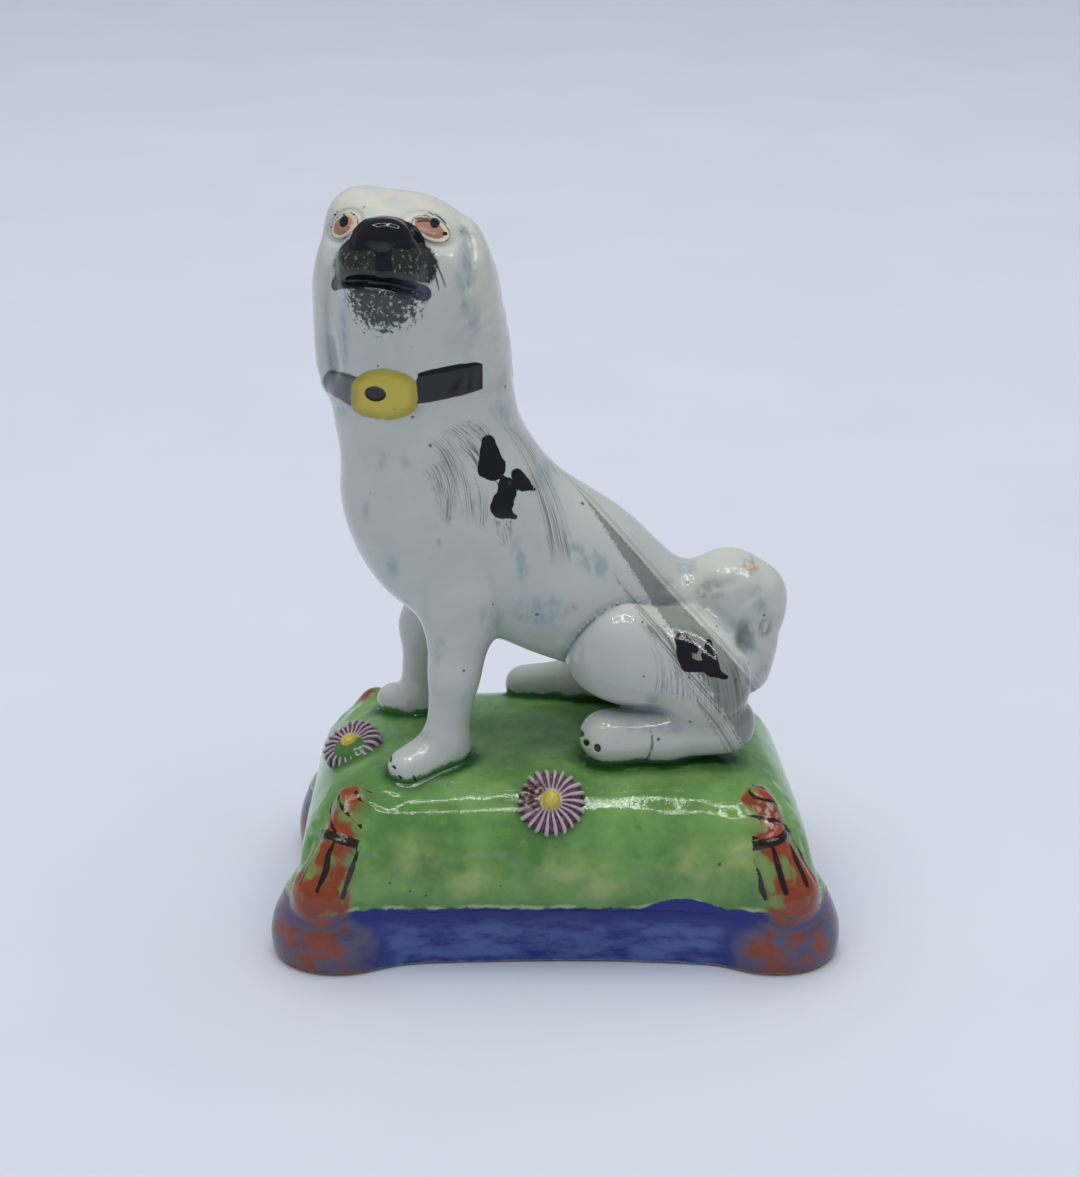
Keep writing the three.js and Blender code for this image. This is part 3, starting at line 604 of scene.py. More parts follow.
def daisy_surface(P, D, seed):
    e, g, n = daisy_axes(D)
    d = P - np.array(D["at"])
    u, v, w = d @ e, d @ g, d @ n
    r, t = np.hypot(u, v), np.arctan2(v, u)
    rise = np.clip((r - 1.7) / 1.4, 0, 1)
    bend = t + 0.05 * lattice(np.stack([u, v, w], 1) / 2.2, seed)
    petal = np.cos(D["petals"] * bend)
    crest = np.sign(petal) * np.abs(petal) ** 0.75 * 0.30 * rise
    uneven = 0.28 * lattice(np.stack([np.cos(t) * 2.2, np.sin(t) * 2.2, t * 0], 1), seed + 2)
    rim = D["radius"] + crest * 1.15 + uneven
    bowl = w + DAISY["dish"] * (r / D["radius"]) ** 2 - crest * 0.75 - 0.22 * np.exp(-((r - D["radius"] * 0.72) / 0.8) ** 2)
    q0, q1 = r - rim + 0.8, np.abs(bowl + DAISY["thick"] / 2) - DAISY["thick"] / 2 + 0.8
    f = np.hypot(np.maximum(q0, 0), np.maximum(q1, 0)) + np.minimum(np.maximum(q0, q1), 0) - 0.8
    button = np.sqrt(u * u + v * v + (w * 1.25) ** 2) - DAISY["button"]
    button = button + 0.07 * np.cos(u * 7.5) * np.cos(v * 7.5)
    f = soft(f, button, 0.25)
    worn = ramp(np.hypot(u + 2.6, v - 0.6), 2.6, 1.2) if seed == 1 else 0.0
    return f + worn * (0.28 + 0.25 * lattice(P / 0.9, 5)) - 0.03 * lattice(P / 0.7, 6)


# ------------------------------------------------------------------ surface of a field
def sample_blocks(F, lo, hi, h, block=8):
    lo = np.array(lo, float)
    n = np.ceil((np.array(hi) - lo) / (h * block)).astype(int)
    c = np.stack(np.meshgrid(*[np.arange(k) for k in n], indexing="ij"), -1).reshape(-1, 3)
    fc = F(lo + (c + 0.5) * block * h)
    keep = np.abs(fc) < block * h * 0.5 * math.sqrt(3) * 1.35 + 1.0
    size = n * block + 1
    G = np.empty(size, np.float32)
    need = np.zeros(size, bool)
    for (i, j, k), v in zip(c * block, fc):
        G[i:i + block + 1, j:j + block + 1, k:k + block + 1] = 5.0 if v > 0 else -5.0
    for i, j, k in (c * block)[keep]:
        need[i:i + block + 1, j:j + block + 1, k:k + block + 1] = True
    idx = np.argwhere(need)
    out = np.empty(len(idx), np.float32)
    for s in range(0, len(idx), 200000):
        out[s:s + 200000] = F(lo + idx[s:s + 200000] * h)
    G[need] = out
    return G, lo


def skin(F, lo, hi, h, rounds=3):
    """A closed quad surface of F = 0 with cells of size h, evened out and laid onto the field."""
    G, lo = sample_blocks(F, lo, hi, h)
    G = np.where(np.abs(G) < 1e-6, 1e-6, G)
    S = G < 0
    nx, ny, nz = G.shape
    c = np.zeros((nx - 1, ny - 1, nz - 1), np.int8)
    for dx in (0, 1):
        for dy in (0, 1):
            for dz in (0, 1):
                c += S[dx:nx - 1 + dx, dy:ny - 1 + dy, dz:nz - 1 + dz]
    act = (c > 0) & (c < 8)
    cells = np.argwhere(act)
    idx = -np.ones(act.shape, np.int64)
    idx[act] = np.arange(len(cells))
    i, j, k = cells.T
    acc, cnt = np.zeros((len(cells), 3)), np.zeros(len(cells))
    cube = [np.array((dx, dy, dz)) for dx in (0, 1) for dy in (0, 1) for dz in (0, 1)]
    for a in range(8):
        for b in range(a + 1, 8):
            if np.abs(cube[a] - cube[b]).sum() != 1:
                continue
            ga = G[i + cube[a][0], j + cube[a][1], k + cube[a][2]].astype(float)
            gb = G[i + cube[b][0], j + cube[b][1], k + cube[b][2]].astype(float)
            m = (ga < 0) != (gb < 0)
            t = np.where(m, ga / np.where(m, ga - gb, 1), 0)
            acc[m] += (cube[a] + t[:, None] * (cube[b] - cube[a]))[m]
            cnt[m] += 1
    V = (cells + acc / np.maximum(cnt, 1)[:, None]) * h + lo
    quads = []
    for ax in range(3):
        o = [(slice(1, -1),) * 3, None]
        sl0 = [slice(1, -1)] * 3
        sl1 = [slice(1, -1)] * 3
        sl0[ax], sl1[ax] = slice(0, -1), slice(1, None)
        p = np.argwhere(S[tuple(sl0)] != S[tuple(sl1)])
        off = np.ones(3, int)
        off[ax] = 0
        p = p + off
        u, w = (ax + 1) % 3, (ax + 2) % 3
        eu, ew = np.eye(3, dtype=int)[u], np.eye(3, dtype=int)[w]
        q = np.stack([idx[tuple((p - eu - ew).T)], idx[tuple((p - ew).T)], idx[tuple(p.T)], idx[tuple((p - eu).T)]], 1)
        out = S[tuple(p.T)]
        q[~out] = q[~out][:, ::-1]
        quads.append(q)
    Q = np.concatenate(quads)
    e = np.concatenate([Q[:, [0, 1]], Q[:, [1, 2]], Q[:, [2, 3]], Q[:, [3, 0]]])
    for r in range(rounds):
        if r < rounds - 1:
            s, m = np.zeros_like(V), np.zeros(len(V))
            for col in range(3):
                s[:, col] = np.bincount(e[:, 0], V[e[:, 1], col], len(V)) + np.bincount(e[:, 1], V[e[:, 0], col], len(V))
            m = np.bincount(e.ravel(), minlength=len(V))
            V = 0.45 * V + 0.55 * s / m[:, None]
        f, g = slope(F, V, 0.3 * h)
        V = V - g * np.clip(f, -h, h)[:, None]
    return V, Q


TETRA = np.array([[1, -1, -1], [-1, -1, 1], [-1, 1, -1], [1, 1, 1]], float)


def slope(F, V, e):
    """Value and gradient of a field from four points round each place, gradient over its squared length."""
    vals = [F(V + t * e) for t in TETRA]
    f = sum(vals) / 4
    g = sum(t[None] * v[:, None] for t, v in zip(TETRA, vals)) / (4 * e)
    n2 = (g * g).sum(1)
    return f, g / np.maximum(n2, 0.2)[:, None]


# ------------------------------------------------------------------ finer cells where the detail is fine
def refine(F, V, Q, T, level_of, e):
    """Split the chosen quads in four, join them to their neighbours with triangles, and lay the new points on the field."""
    pick = level_of(V[Q].mean(1))
    edges = np.stack([Q, np.roll(Q, -1, 1)], -1)
    key = np.sort(edges, -1).astype(np.int64)
    code = key[..., 0] * len(V) + key[..., 1]
    split = np.unique(code[pick])
    mid = (V[split // len(V)] + V[split % len(V)]) / 2
    at = np.searchsorted(split, code)
    at = np.minimum(at, len(split) - 1)
    has = split[at] == code
    m_id = len(V) + at
    ctr = V[Q[pick]].mean(1)
    c_id = len(V) + len(mid) + np.arange(len(ctr))
    q, m = Q[pick], m_id[pick]
    new = [np.stack([q[:, i], m[:, i], c_id, m[:, i - 1]], 1) for i in range(4)]
    ring = (~pick) & has.any(1)
    r_ctr = V[Q[ring]].mean(1)
    r_id = len(V) + len(mid) + len(ctr) + np.arange(len(r_ctr))
    tri = []
    for row, hs, ms, c in zip(Q[ring], has[ring], m_id[ring], r_id):
        loop = []
        for i in range(4):
            loop.append(row[i])
            if hs[i]:
                loop.append(ms[i])
        tri += [(loop[i], loop[(i + 1) % len(loop)], c) for i in range(len(loop))]
    n0 = len(V)
    V2 = np.concatenate([V, mid, ctr, r_ctr])
    Q2 = np.concatenate([Q[(~pick) & (~ring)]] + new)
    T2 = np.concatenate([T, np.array(tri, np.int64).reshape(-1, 3)])
    touched = np.zeros(len(V2), bool)
    touched[n0:] = True
    touched[q.ravel()] = True
    for _ in range(2):
        f, g = slope(F, V2[touched], e)
        V2[touched] -= g * np.clip(f, -e * 2, e * 2)[:, None]
    return V2, Q2, T2


def normals(F, V, e):
    f, g = slope(F, V, e)
    return g / np.maximum(np.linalg.norm(g, axis=1), 1e-9)[:, None]


def hollow(F, V, N, d):
    """1 deep in a crease, 0 on the flat, negative on an edge, for a probe of d mm."""
    return (d - F(V + N * d)) / d


# ------------------------------------------------------------------ what is painted on the dog
def q_of(*m):
    return [on_plane(x) for x in m]


SPOTS = [((mark(488.5, 442), mark(491.5, 466.5)), (6.5, 12.8)), ((mark(496, 455), mark(499, 464)), (4, 6)), ((mark(485, 471), mark(494, 474)), (6.5, 6.5)),
         ((mark(517, 475), mark(523, 484)), (6.0, 7.2)), ((mark(523, 484), mark(536, 490.5)), (6.2, 1.0)),
         ((mark(507, 486), mark(507, 493)), (8.5, 9)), ((mark(503, 501), mark(501, 508)), (9.5, 10)), ((mark(504, 512), mark(516.5, 517.5)), (6.5, 1.2)),
         ((mark(682, 639), mark(684.5, 655)), (6.8, 7.4)), ((mark(684, 640), mark(695.5, 650)), (5.2, 3.6)), ((mark(687.5, 666), mark(699, 667)), (6.0, 5.8)),
         ((mark(682, 660), mark(683, 664)), (3.6, 3.0)),
         ((mark(708.5, 640.5), mark(709, 655)), (2.2, 7.0)), ((mark(709, 655), mark(713, 670)), (7.4, 7.2)), ((mark(713, 672), mark(726.5, 677.5)), (5.2, 2.2))]
NOSE = mark(386, 242.5)
MUZZLE_MID, CHIN_MID = mark(383, 262), mark(384, 290)
STRAP = (mark(418, 389), mark(448, 382.5), mark(476, 376.5))
STRAP_END = (mark(471, 369), mark(475, 384))
SEGMENT = (mark(333, 382), mark(354, 391.5))
WHISKERS = [(mark(421, 245), mark(433, 262), mark(439, 290), 0.9), (mark(428, 249), mark(439, 266), mark(445.5, 287), 0.75),
            (mark(424, 252), mark(430, 264), mark(434, 280), 0.6)]
LASHES = [(mark(415, 219), mark(424, 217.5), mark(432, 219), 1.1), (mark(434, 213.5), mark(441, 217), mark(446, 224), 1.0),
          (mark(417, 222), mark(426, 219.8), mark(433, 222), 1.3), (mark(428, 212), mark(431, 212.5), mark(433, 215), 0.7),
          (mark(424, 215), mark(427, 214.5), mark(429, 217), 0.6), (mark(343, 214), mark(345, 216), mark(346, 218), 1.0)]
DOTS = [(mark(445.2, 233.8), 2.0), (mark(335, 214.5), 1.0), (mark(354, 214.5), 1.1), (mark(357.5, 222), 1.2), (mark(331.5, 227), 1.2),
        (mark(337, 211.8), 0.7), (mark(351, 212.3), 0.7), (mark(363.5, 208), 0.8), (mark(346.5, 236), 0.8)]
FANS = dict(
    fan_a=((mark(423, 470), mark(437, 488), mark(441, 521)), (mark(442, 459), mark(462, 480), mark(449, 528)), 10, 1.0),
    fan_b=((mark(428, 443), mark(452, 462), mark(457, 517)), (mark(441, 434), mark(472, 456), mark(474, 526)), 11, 0.95),
    fan_c=((mark(440, 433), mark(462, 446), mark(478, 472)), (mark(474, 418), mark(484, 424), mark(492, 437)), 12, 1.0),
    fan_d=((mark(471, 474), mark(477, 494), mark(474, 524)), (mark(481, 478), mark(492, 498), mark(485, 530)), 6, 0.65),
    fan_e=((mark(493, 519), mark(497, 530), mark(502, 545)), (mark(512, 520), mark(513, 530), mark(513, 545)), 6, 0.8),
    fan_f=((mark(500, 424), mark(541, 474), mark(551, 562)), (mark(513, 424), mark(560, 474), mark(577, 562)), 12, 0.75),
    fan_g=((mark(638, 624), mark(664, 650), mark(655, 692)), (mark(706, 626), mark(744, 655), mark(748, 728)), 34, 0.8))
SMEARS = [(mark(383, 460), 8, 4, 62), (mark(366, 510), 4, 9, 0), (mark(392, 565), 5.5, 12, 14), (mark(405, 465), 5, 8, 0), (mark(344, 408), 12, 6, 0),
          (mark(416, 410), 8, 6, 0), (mark(500, 412), 11, 9, -30), (mark(521, 560), 8, 22, 10), (mark(469, 250), 7, 22, -14), (mark(466, 300), 9, 26, 18),
          (mark(652, 703), 8, 9, 0), (mark(655, 728), 34, 6, -3), (mark(686, 566), 10, 9, 0), (mark(738, 630), 14, 10, 0), (mark(748, 640), 9, 12, 0),
          (mark(545, 473), 9, 26, -38), (mark(440, 650), 6, 12, 0), (mark(420, 735), 9, 7, 0), (mark(486, 620), 6, 14, 0), (mark(712, 590), 16, 8, -12),
          (mark(760, 600), 8, 14, 0), (mark(590, 560), 26, 12, -30), (mark(540, 610), 26, 14, 0), (mark(345, 330), 5, 40, -4)]
STAINS = [(mark(752, 566), 9, 9, 0.9), (mark(707, 591), 13, 8, 0.75), (mark(660, 586), 9, 5, 0.5), (mark(750, 686), 8, 8, 1.0), (mark(573, 607), 5, 3, 0.9),
          (mark(695, 612), 12, 5, 0.4), (mark(762, 670), 8, 5, 0.5)]


def fan_coords(Q, left, right):
    """Where a point lies in a sheaf of brush strokes: 0..1 across, 0..1 along."""
    A, B = [np.array(q_of(*s)) for s in (left, right)]

    def curve(C, v):
        v = v[:, None]
        return (1 - v) ** 2 * C[0] + 2 * v * (1 - v) * C[1] + v * v * C[2]

    def pace(C, v):
        v = v[:, None]
        return 2 * (1 - v) * (C[1] - C[0]) + 2 * v * (C[2] - C[1])
    s0, s1 = (A[0] + B[0]) / 2, (A[2] + B[2]) / 2
    v = np.clip((Q - s0) @ (s1 - s0) / ((s1 - s0) @ (s1 - s0)), -0.3, 1.3)
    u = np.full(len(Q), 0.5)
    for _ in range(9):
        a, b = curve(A, v), curve(B, v)
        r = a + u[:, None] * (b - a) - Q
        du, dv = b - a, (1 - u)[:, None] * pace(A, v) + u[:, None] * pace(B, v)
        det = du[:, 0] * dv[:, 1] - du[:, 1] * dv[:, 0]
        det = np.where(np.abs(det) < 1e-6, 1e-6, det)
        u = np.clip(u - np.clip((r[:, 0] * dv[:, 1] - r[:, 1] * dv[:, 0]) / det, -0.6, 0.6), -1.5, 2.5)
        v = np.clip(v - np.clip((du[:, 0] * r[:, 1] - du[:, 1] * r[:, 0]) / det, -0.3, 0.3), -0.5, 1.5)
    return u, v


def stroke(Q, m, half):
    d, s = along(Q, bow(*q_of(*m)))
    return d - half * MM * (0.35 + 0.65 * np.sin(np.clip(s, 0, 1) * math.pi) ** 0.5)


def soften(c, a, b):
    return ramp(c, b, a)


def paint_dog(P, N):
    Q = plane(P)
    toward = np.array([0.0, -math.cos(TILT), math.sin(TILT)])
    face = N @ toward
    shown = ramp(face, -0.05, 0.12)
    head = P[:, 2] > 88
    big = np.full(len(P), 6.0)
    out = {}

    def masked(d, m, far=4.0):
        return np.where(m, d, far)
    side = (face > -0.1) & (P[:, 1] < 4)
    front = side & (P[:, 1] < -2)
    # black enamel
    k = big.copy()
    for (a, b), (ra, rb) in SPOTS:
        k = np.minimum(k, bar(Q, *q_of(a, b), ra, rb))
    k = k + 0.13 * lattice(P / 0.9, 12) + 0.07 * lattice(P / 0.4, 13)
    k = masked(k, side)
    snout = front & (P[:, 1] < -9) & (P[:, 2] > 96)
    nose = np.maximum(oval(Q, on_plane(NOSE), 33.5, 27.5), (on_plane(NOSE)[1] - 0.75 + 0.35 * lattice(P / 1.6, 15)) - Q[:, 1])
    k = np.minimum(k, masked(nose + 0.06 * lattice(P / 0.5, 16), snout))
    hole = oval(Q, on_plane(HOLE), 10, 6.6, -8) + 0.03 * lattice(P / 0.5, 14)
    k = np.minimum(k, masked(hole, front & head))
    d, s = along(Q, bow(*q_of(*STRAP)))
    tip = bar(Q, *q_of(*STRAP_END), 5.5, 4.5)
    strap = np.minimum(d - (13.4 - 1.0 * s + 1.2 * np.sin(s * 3.1)) * MM, tip) + 0.07 * lattice(P / 1.6, 18)
    strap = np.maximum(strap, (on_plane(STRAP[0])[0] - 0.15 + 0.2 * lattice(P / 0.9, 19)) - Q[:, 0])
    strap = np.maximum(strap, Q[:, 0] - (on_plane(STRAP_END[0])[0] + 10.5 * MM))
    k = np.minimum(k, masked(strap, front & head))
    for e in (EYE_L, EYE_R):
        pupil = oval(Q, on_plane(e["pupil"]), 4.3, 5.5, -6) + 0.02 * lattice(P / 0.4, 20)
        k = np.minimum(k, masked(pupil, front & head))
    for m, r in DOTS:
        k = np.minimum(k, masked(oval(Q, on_plane(m), r * 1.15, r), front & head))
    for c in CLAWS_HIND[:2]:
        k = np.minimum(k, masked(oval(Q, on_plane(c), 2.7, 3.2, 10), side & (P[:, 2] < 40)))
    for a, b in CLAWS_FORE:
        k = np.minimum(k, masked(bar(Q, *q_of(a, b), 1.0, 1.3), side & (P[:, 2] < 40)))
    out["black"] = k
    d, s = along(Q, bow(*q_of(*MOUTH)))
    m = d - (7.4 + 1.0 * lattice(P / 1.4, 22)) * MM
    m = np.minimum(m, bar(Q, *q_of(CLEFT[0], CLEFT[2]), 8.0, 8.5) + 0.12 * lattice(P / 0.8, 23) + 0.10)
    out["mouth"] = masked(m, snout)
    out["bluish"] = masked(ramp(s, 0.62, 0.92), snout, 0.0) * ramp(d, 2.2, 1.2)
    # collar
    out["yellow"] = masked(np.maximum(oval(Q, on_plane(BUCKLE), 34, 23), np.abs(Q[:, 0] - on_plane(BUCKLE)[0]) - 30.5 * MM) + 0.14 * lattice(P / 2.0, 24) + 0.05 * lattice(P / 0.8, 25), front & head)
    d, s = along(Q, np.array(q_of(*SEGMENT)))
    out["collar"] = masked(d - (10.5 + 2.5 * s) * MM + 0.08 * lattice(P / 1.2, 26), head & (face > -0.6) & (P[:, 1] < 0) & (Q[:, 0] < on_plane(BUCKLE)[0]))
    # sponged muzzle and stippled chin
    up = oval(Q, on_plane(MUZZLE_MID), 47, 31)
    dens = ramp(up, 0.5, -0.5) * ramp(Q[:, 1], on_plane(MOUTH[1])[1] - 1.0, on_plane(MOUTH[1])[1] + 0.3)
    chin = oval(Q, on_plane(CHIN_MID), 47, 46)
    low = (1 - ramp(Q[:, 1], on_plane(MOUTH[1])[1] - 1.0, on_plane(MOUTH[1])[1] + 0.3)) * ramp(chin, 0.3, -4.2) ** 0.8
    out["soot"] = masked(np.maximum(dens, low), snout | (front & head & (P[:, 2] > 99)), 0.0)
    out["tan"] = masked(dens, snout, 0.0)
    # eyes, in drawing units from their middles
    ring, flesh, pale = big.copy(), big.copy(), big.copy()
    for e, fx, fy in ((EYE_L, -1.5, 2.0), (EYE_R, -1.5, 1.0)):
        r = oval(Q, on_plane(e["c"]), e["rx"] + 2.6, e["ry"] + 2.6, e["deg"]) + 0.03 * lattice(P / 0.7, 28)
        ring = np.minimum(ring, np.abs(r) - 0.075 + 0.05 * lattice(P / 0.6, 29))
        pale = np.minimum(pale, r)
        flesh = np.minimum(flesh, oval(Q, on_plane(e["c"]) + np.array([-0.15, 0.05]), e["rx"] - 1.0, e["ry"] - 0.6, e["deg"]) + 0.05 * lattice(P / 0.6, 30))
    out["lid"], out["flesh"], out["rim"] = (masked(x, front & head) for x in (ring, flesh, pale))
    line_d = big.copy()
    for a, b, c, w in WHISKERS + LASHES:
        line_d = np.minimum(line_d, stroke(Q, (a, b, c), w))
    out["ink"] = masked(line_d, front & head)
    # fans of brush strokes
    for name, (lf, rt, n, deep) in FANS.items():
        u, v = fan_coords(Q, lf, rt)
        m = shown * (P[:, 1] < 3) * ramp(v, -0.03, 0.06) * ramp(1 - v, -0.04, 0.12) * ramp(u, -0.06, 0.03) * ramp(1 - u, -0.06, 0.03) * deep
        out[name] = np.stack([np.where(m > 0, u, 0.5) * n, np.where(m > 0, v, 0.5), m], 1)
    # glaze: blue in hollows and smears, cream on the crown, the ear and the tail. The blue in hollows is partly painted
    # shade; the cream is partly a painted highlight.
    b = np.zeros(len(P))
    for c, rx, ry, dg in SMEARS:
        b = np.maximum(b, ramp(oval(Q, on_plane(c), rx, ry, dg), 0.7, -1.0) * near_side(P, c, 9))
    out["smear"] = b * shown
    st = np.zeros(len(P))
    for c, rx, ry, w in STAINS:
        st = np.maximum(st, w * ramp(oval(Q, on_plane(c), rx, ry, 20) + 0.3 * lattice(P / 1.2, 37), 0.5, -0.7) * near_side(P, c, 6))
    out["stain"] = st * shown
    # cream on the crown, the near ear, the tail and the hind feet, partly a painted highlight where these catch the
    # light
    out["cream_and_highlight"] = np.clip(ramp(P[:, 2], 112, 119) + 0.8 * ramp(P[:, 0], -15, -11) * ramp(P[:, 2], 90, 98) + 0.6 * ramp(P[:, 0], 20, 26) * ramp(P[:, 2], 52, 64)
                          + 0.5 * ramp(P[:, 2], 46, 38) * (P[:, 0] > 0), 0, 1)
    out["crack"] = masked(stroke(Q, CRACK, 0.8), side & (P[:, 2] < 42))
    out["claw"] = masked(oval(Q, on_plane(CLAWS_HIND[2]), 3.2, 4.2, 20), side & (P[:, 2] < 40))
    out["near"] = cushion_field(P)
    # how deep a point lies in a crease and in a wider hollow; the glaze material darkens these as pooled glaze and
    # painted shade
    out["crease"] = hollow(dog_surface, P, N, 0.7)
    out["deep"] = hollow(dog_surface, P, N, 2.6)
    return out


# ------------------------------------------------------------------ what is painted on the cushion
PALE = [mark(421, 858), mark(560, 872), mark(603, 884), mark(470, 880), mark(690, 868), mark(735, 860)]


def paint_cushion(P, N):
    out = {}
    pads, tass = pads_field(P), tassels_field(P)
    pil = pillow_field(P)
    wob = 0.30 * lattice(P / 2.2, 81) + 0.14 * lattice(P / 0.8, 82)
    out["red"] = np.minimum(pads + 0.15, tass + 0.05) + wob * 0.8
    out["height"] = P[:, 2]
    best = np.full(len(P), 1e9)
    co = np.zeros((len(P), 3))
    for c in corners():
        s, a, r = tassel_coords(P, c)
        d = np.abs(s - 6) * 0.6 + r
        m = d < best
        best[m] = d[m]
        co[m] = np.stack([s, a, r], 1)[m]
    s, a, r = co.T
    on = ramp(tass, 1.0, 0.5) * (r < 9)
    half = 0.16 + 0.30 * np.sin(np.clip((s - 5.8) / 9.5, 0, 1) * math.pi) ** 0.8
    strand = np.full(len(P), 3.0)
    for j, off in enumerate((-1.45, -0.62, 0.12, 0.85, 1.6)):
        strand = np.minimum(strand, np.abs((a - off) * np.minimum(r, 4.5) + 0.25 * lattice(P / 3, 84 + j)) - half)
    strand = np.where((s > 5.6) & (s < 14.5), strand, 3.0)
    tie = np.abs(s - 5.5 - 0.3 * np.sin(a * 2)) - 0.72 + 0.2 * lattice(P / 0.9, 85)
    knot = np.abs(np.sin(a * 1.7 + s * 0.9)) * 2.2 - 0.5 + 0.5 * lattice(P / 0.8, 86)
    knot = np.where(s < 4.6, np.maximum(knot, -3), 3.0)
    out["black"] = np.where(on > 0.5, np.minimum(np.minimum(strand, tie), knot), 3.0)
    worn = np.linalg.norm(P - on_body(WORN), axis=1)
    out["worn"] = ramp(worn, 3.2, 1.6)
    pale = np.zeros(len(P))
    for m in PALE:
        c = on_body(m)
        pale = np.maximum(pale, ramp(np.hypot(P[:, 0] - c[0], (P[:, 2] - c[2]) * 1.2), 6.0, 1.0))
    out["pale"] = pale * ramp(P[:, 1], -15, -20)
    # distances to the dog and to the daisy centres, for the painted shade and pooled glaze round them
    out["dog"] = dog_field(P)
    out["daisy"] = np.minimum(np.linalg.norm(P - np.array(DAISY_FRONT["at"]), axis=1), np.linalg.norm(P - np.array(DAISY_LEFT["at"]), axis=1))
    out["spill"] = np.linalg.norm((P - on_body(SPILL)) * np.array([0.5, 0.6, 1.0]), axis=1)
    # how deep a point lies in a crease and in a wider hollow, for pooled glaze and painted shade in the glaze material
    out["crease"] = hollow(cushion_surface, P, N, 0.9)
    out["deep"] = hollow(cushion_surface, P, N, 3.0)
    out["edge"] = np.minimum(P[:, 2], 4.0)
    return out


WORN = mark(766, 816)
SPILL = mark(683, 908)


def paint_daisy(P, N, D, seed):
    e, g, n = daisy_axes(D)
    d = P - np.array(D["at"])
    u, v, w = d @ e, d @ g, d @ n
    t = np.arctan2(v, u) + 0.05 * lattice(np.stack([u, v, w], 1) / 2.2, seed)
    r = np.hypot(u, v)
    worn = ramp(np.hypot(u + 2.6, v - 0.6), 3.4, 1.4) if seed == 1 else 0 * r
    return dict(petal=np.cos(D["petals"] * t), reach=r, button=np.sqrt(u * u + v * v + (w * 1.25) ** 2) - DAISY["button"] - 0.10,
                worn=worn, under=-(N @ n))


# ------------------------------------------------------------------ a short way to write node graphs
class Sock:
    def __init__(self, g, s):
        self.g, self.s = g, s

    def __add__(self, o): return self.g.math("ADD", self, o)
    def __radd__(self, o): return self.g.math("ADD", o, self)
    def __sub__(self, o): return self.g.math("SUBTRACT", self, o)
    def __rsub__(self, o): return self.g.math("SUBTRACT", o, self)
    def __mul__(self, o): return self.g.math("MULTIPLY", self, o)
    def __rmul__(self, o): return self.g.math("MULTIPLY", o, self)
    def __truediv__(self, o): return self.g.math("DIVIDE", self, o)
    def __neg__(self): return self.g.math("MULTIPLY", self, -1.0)


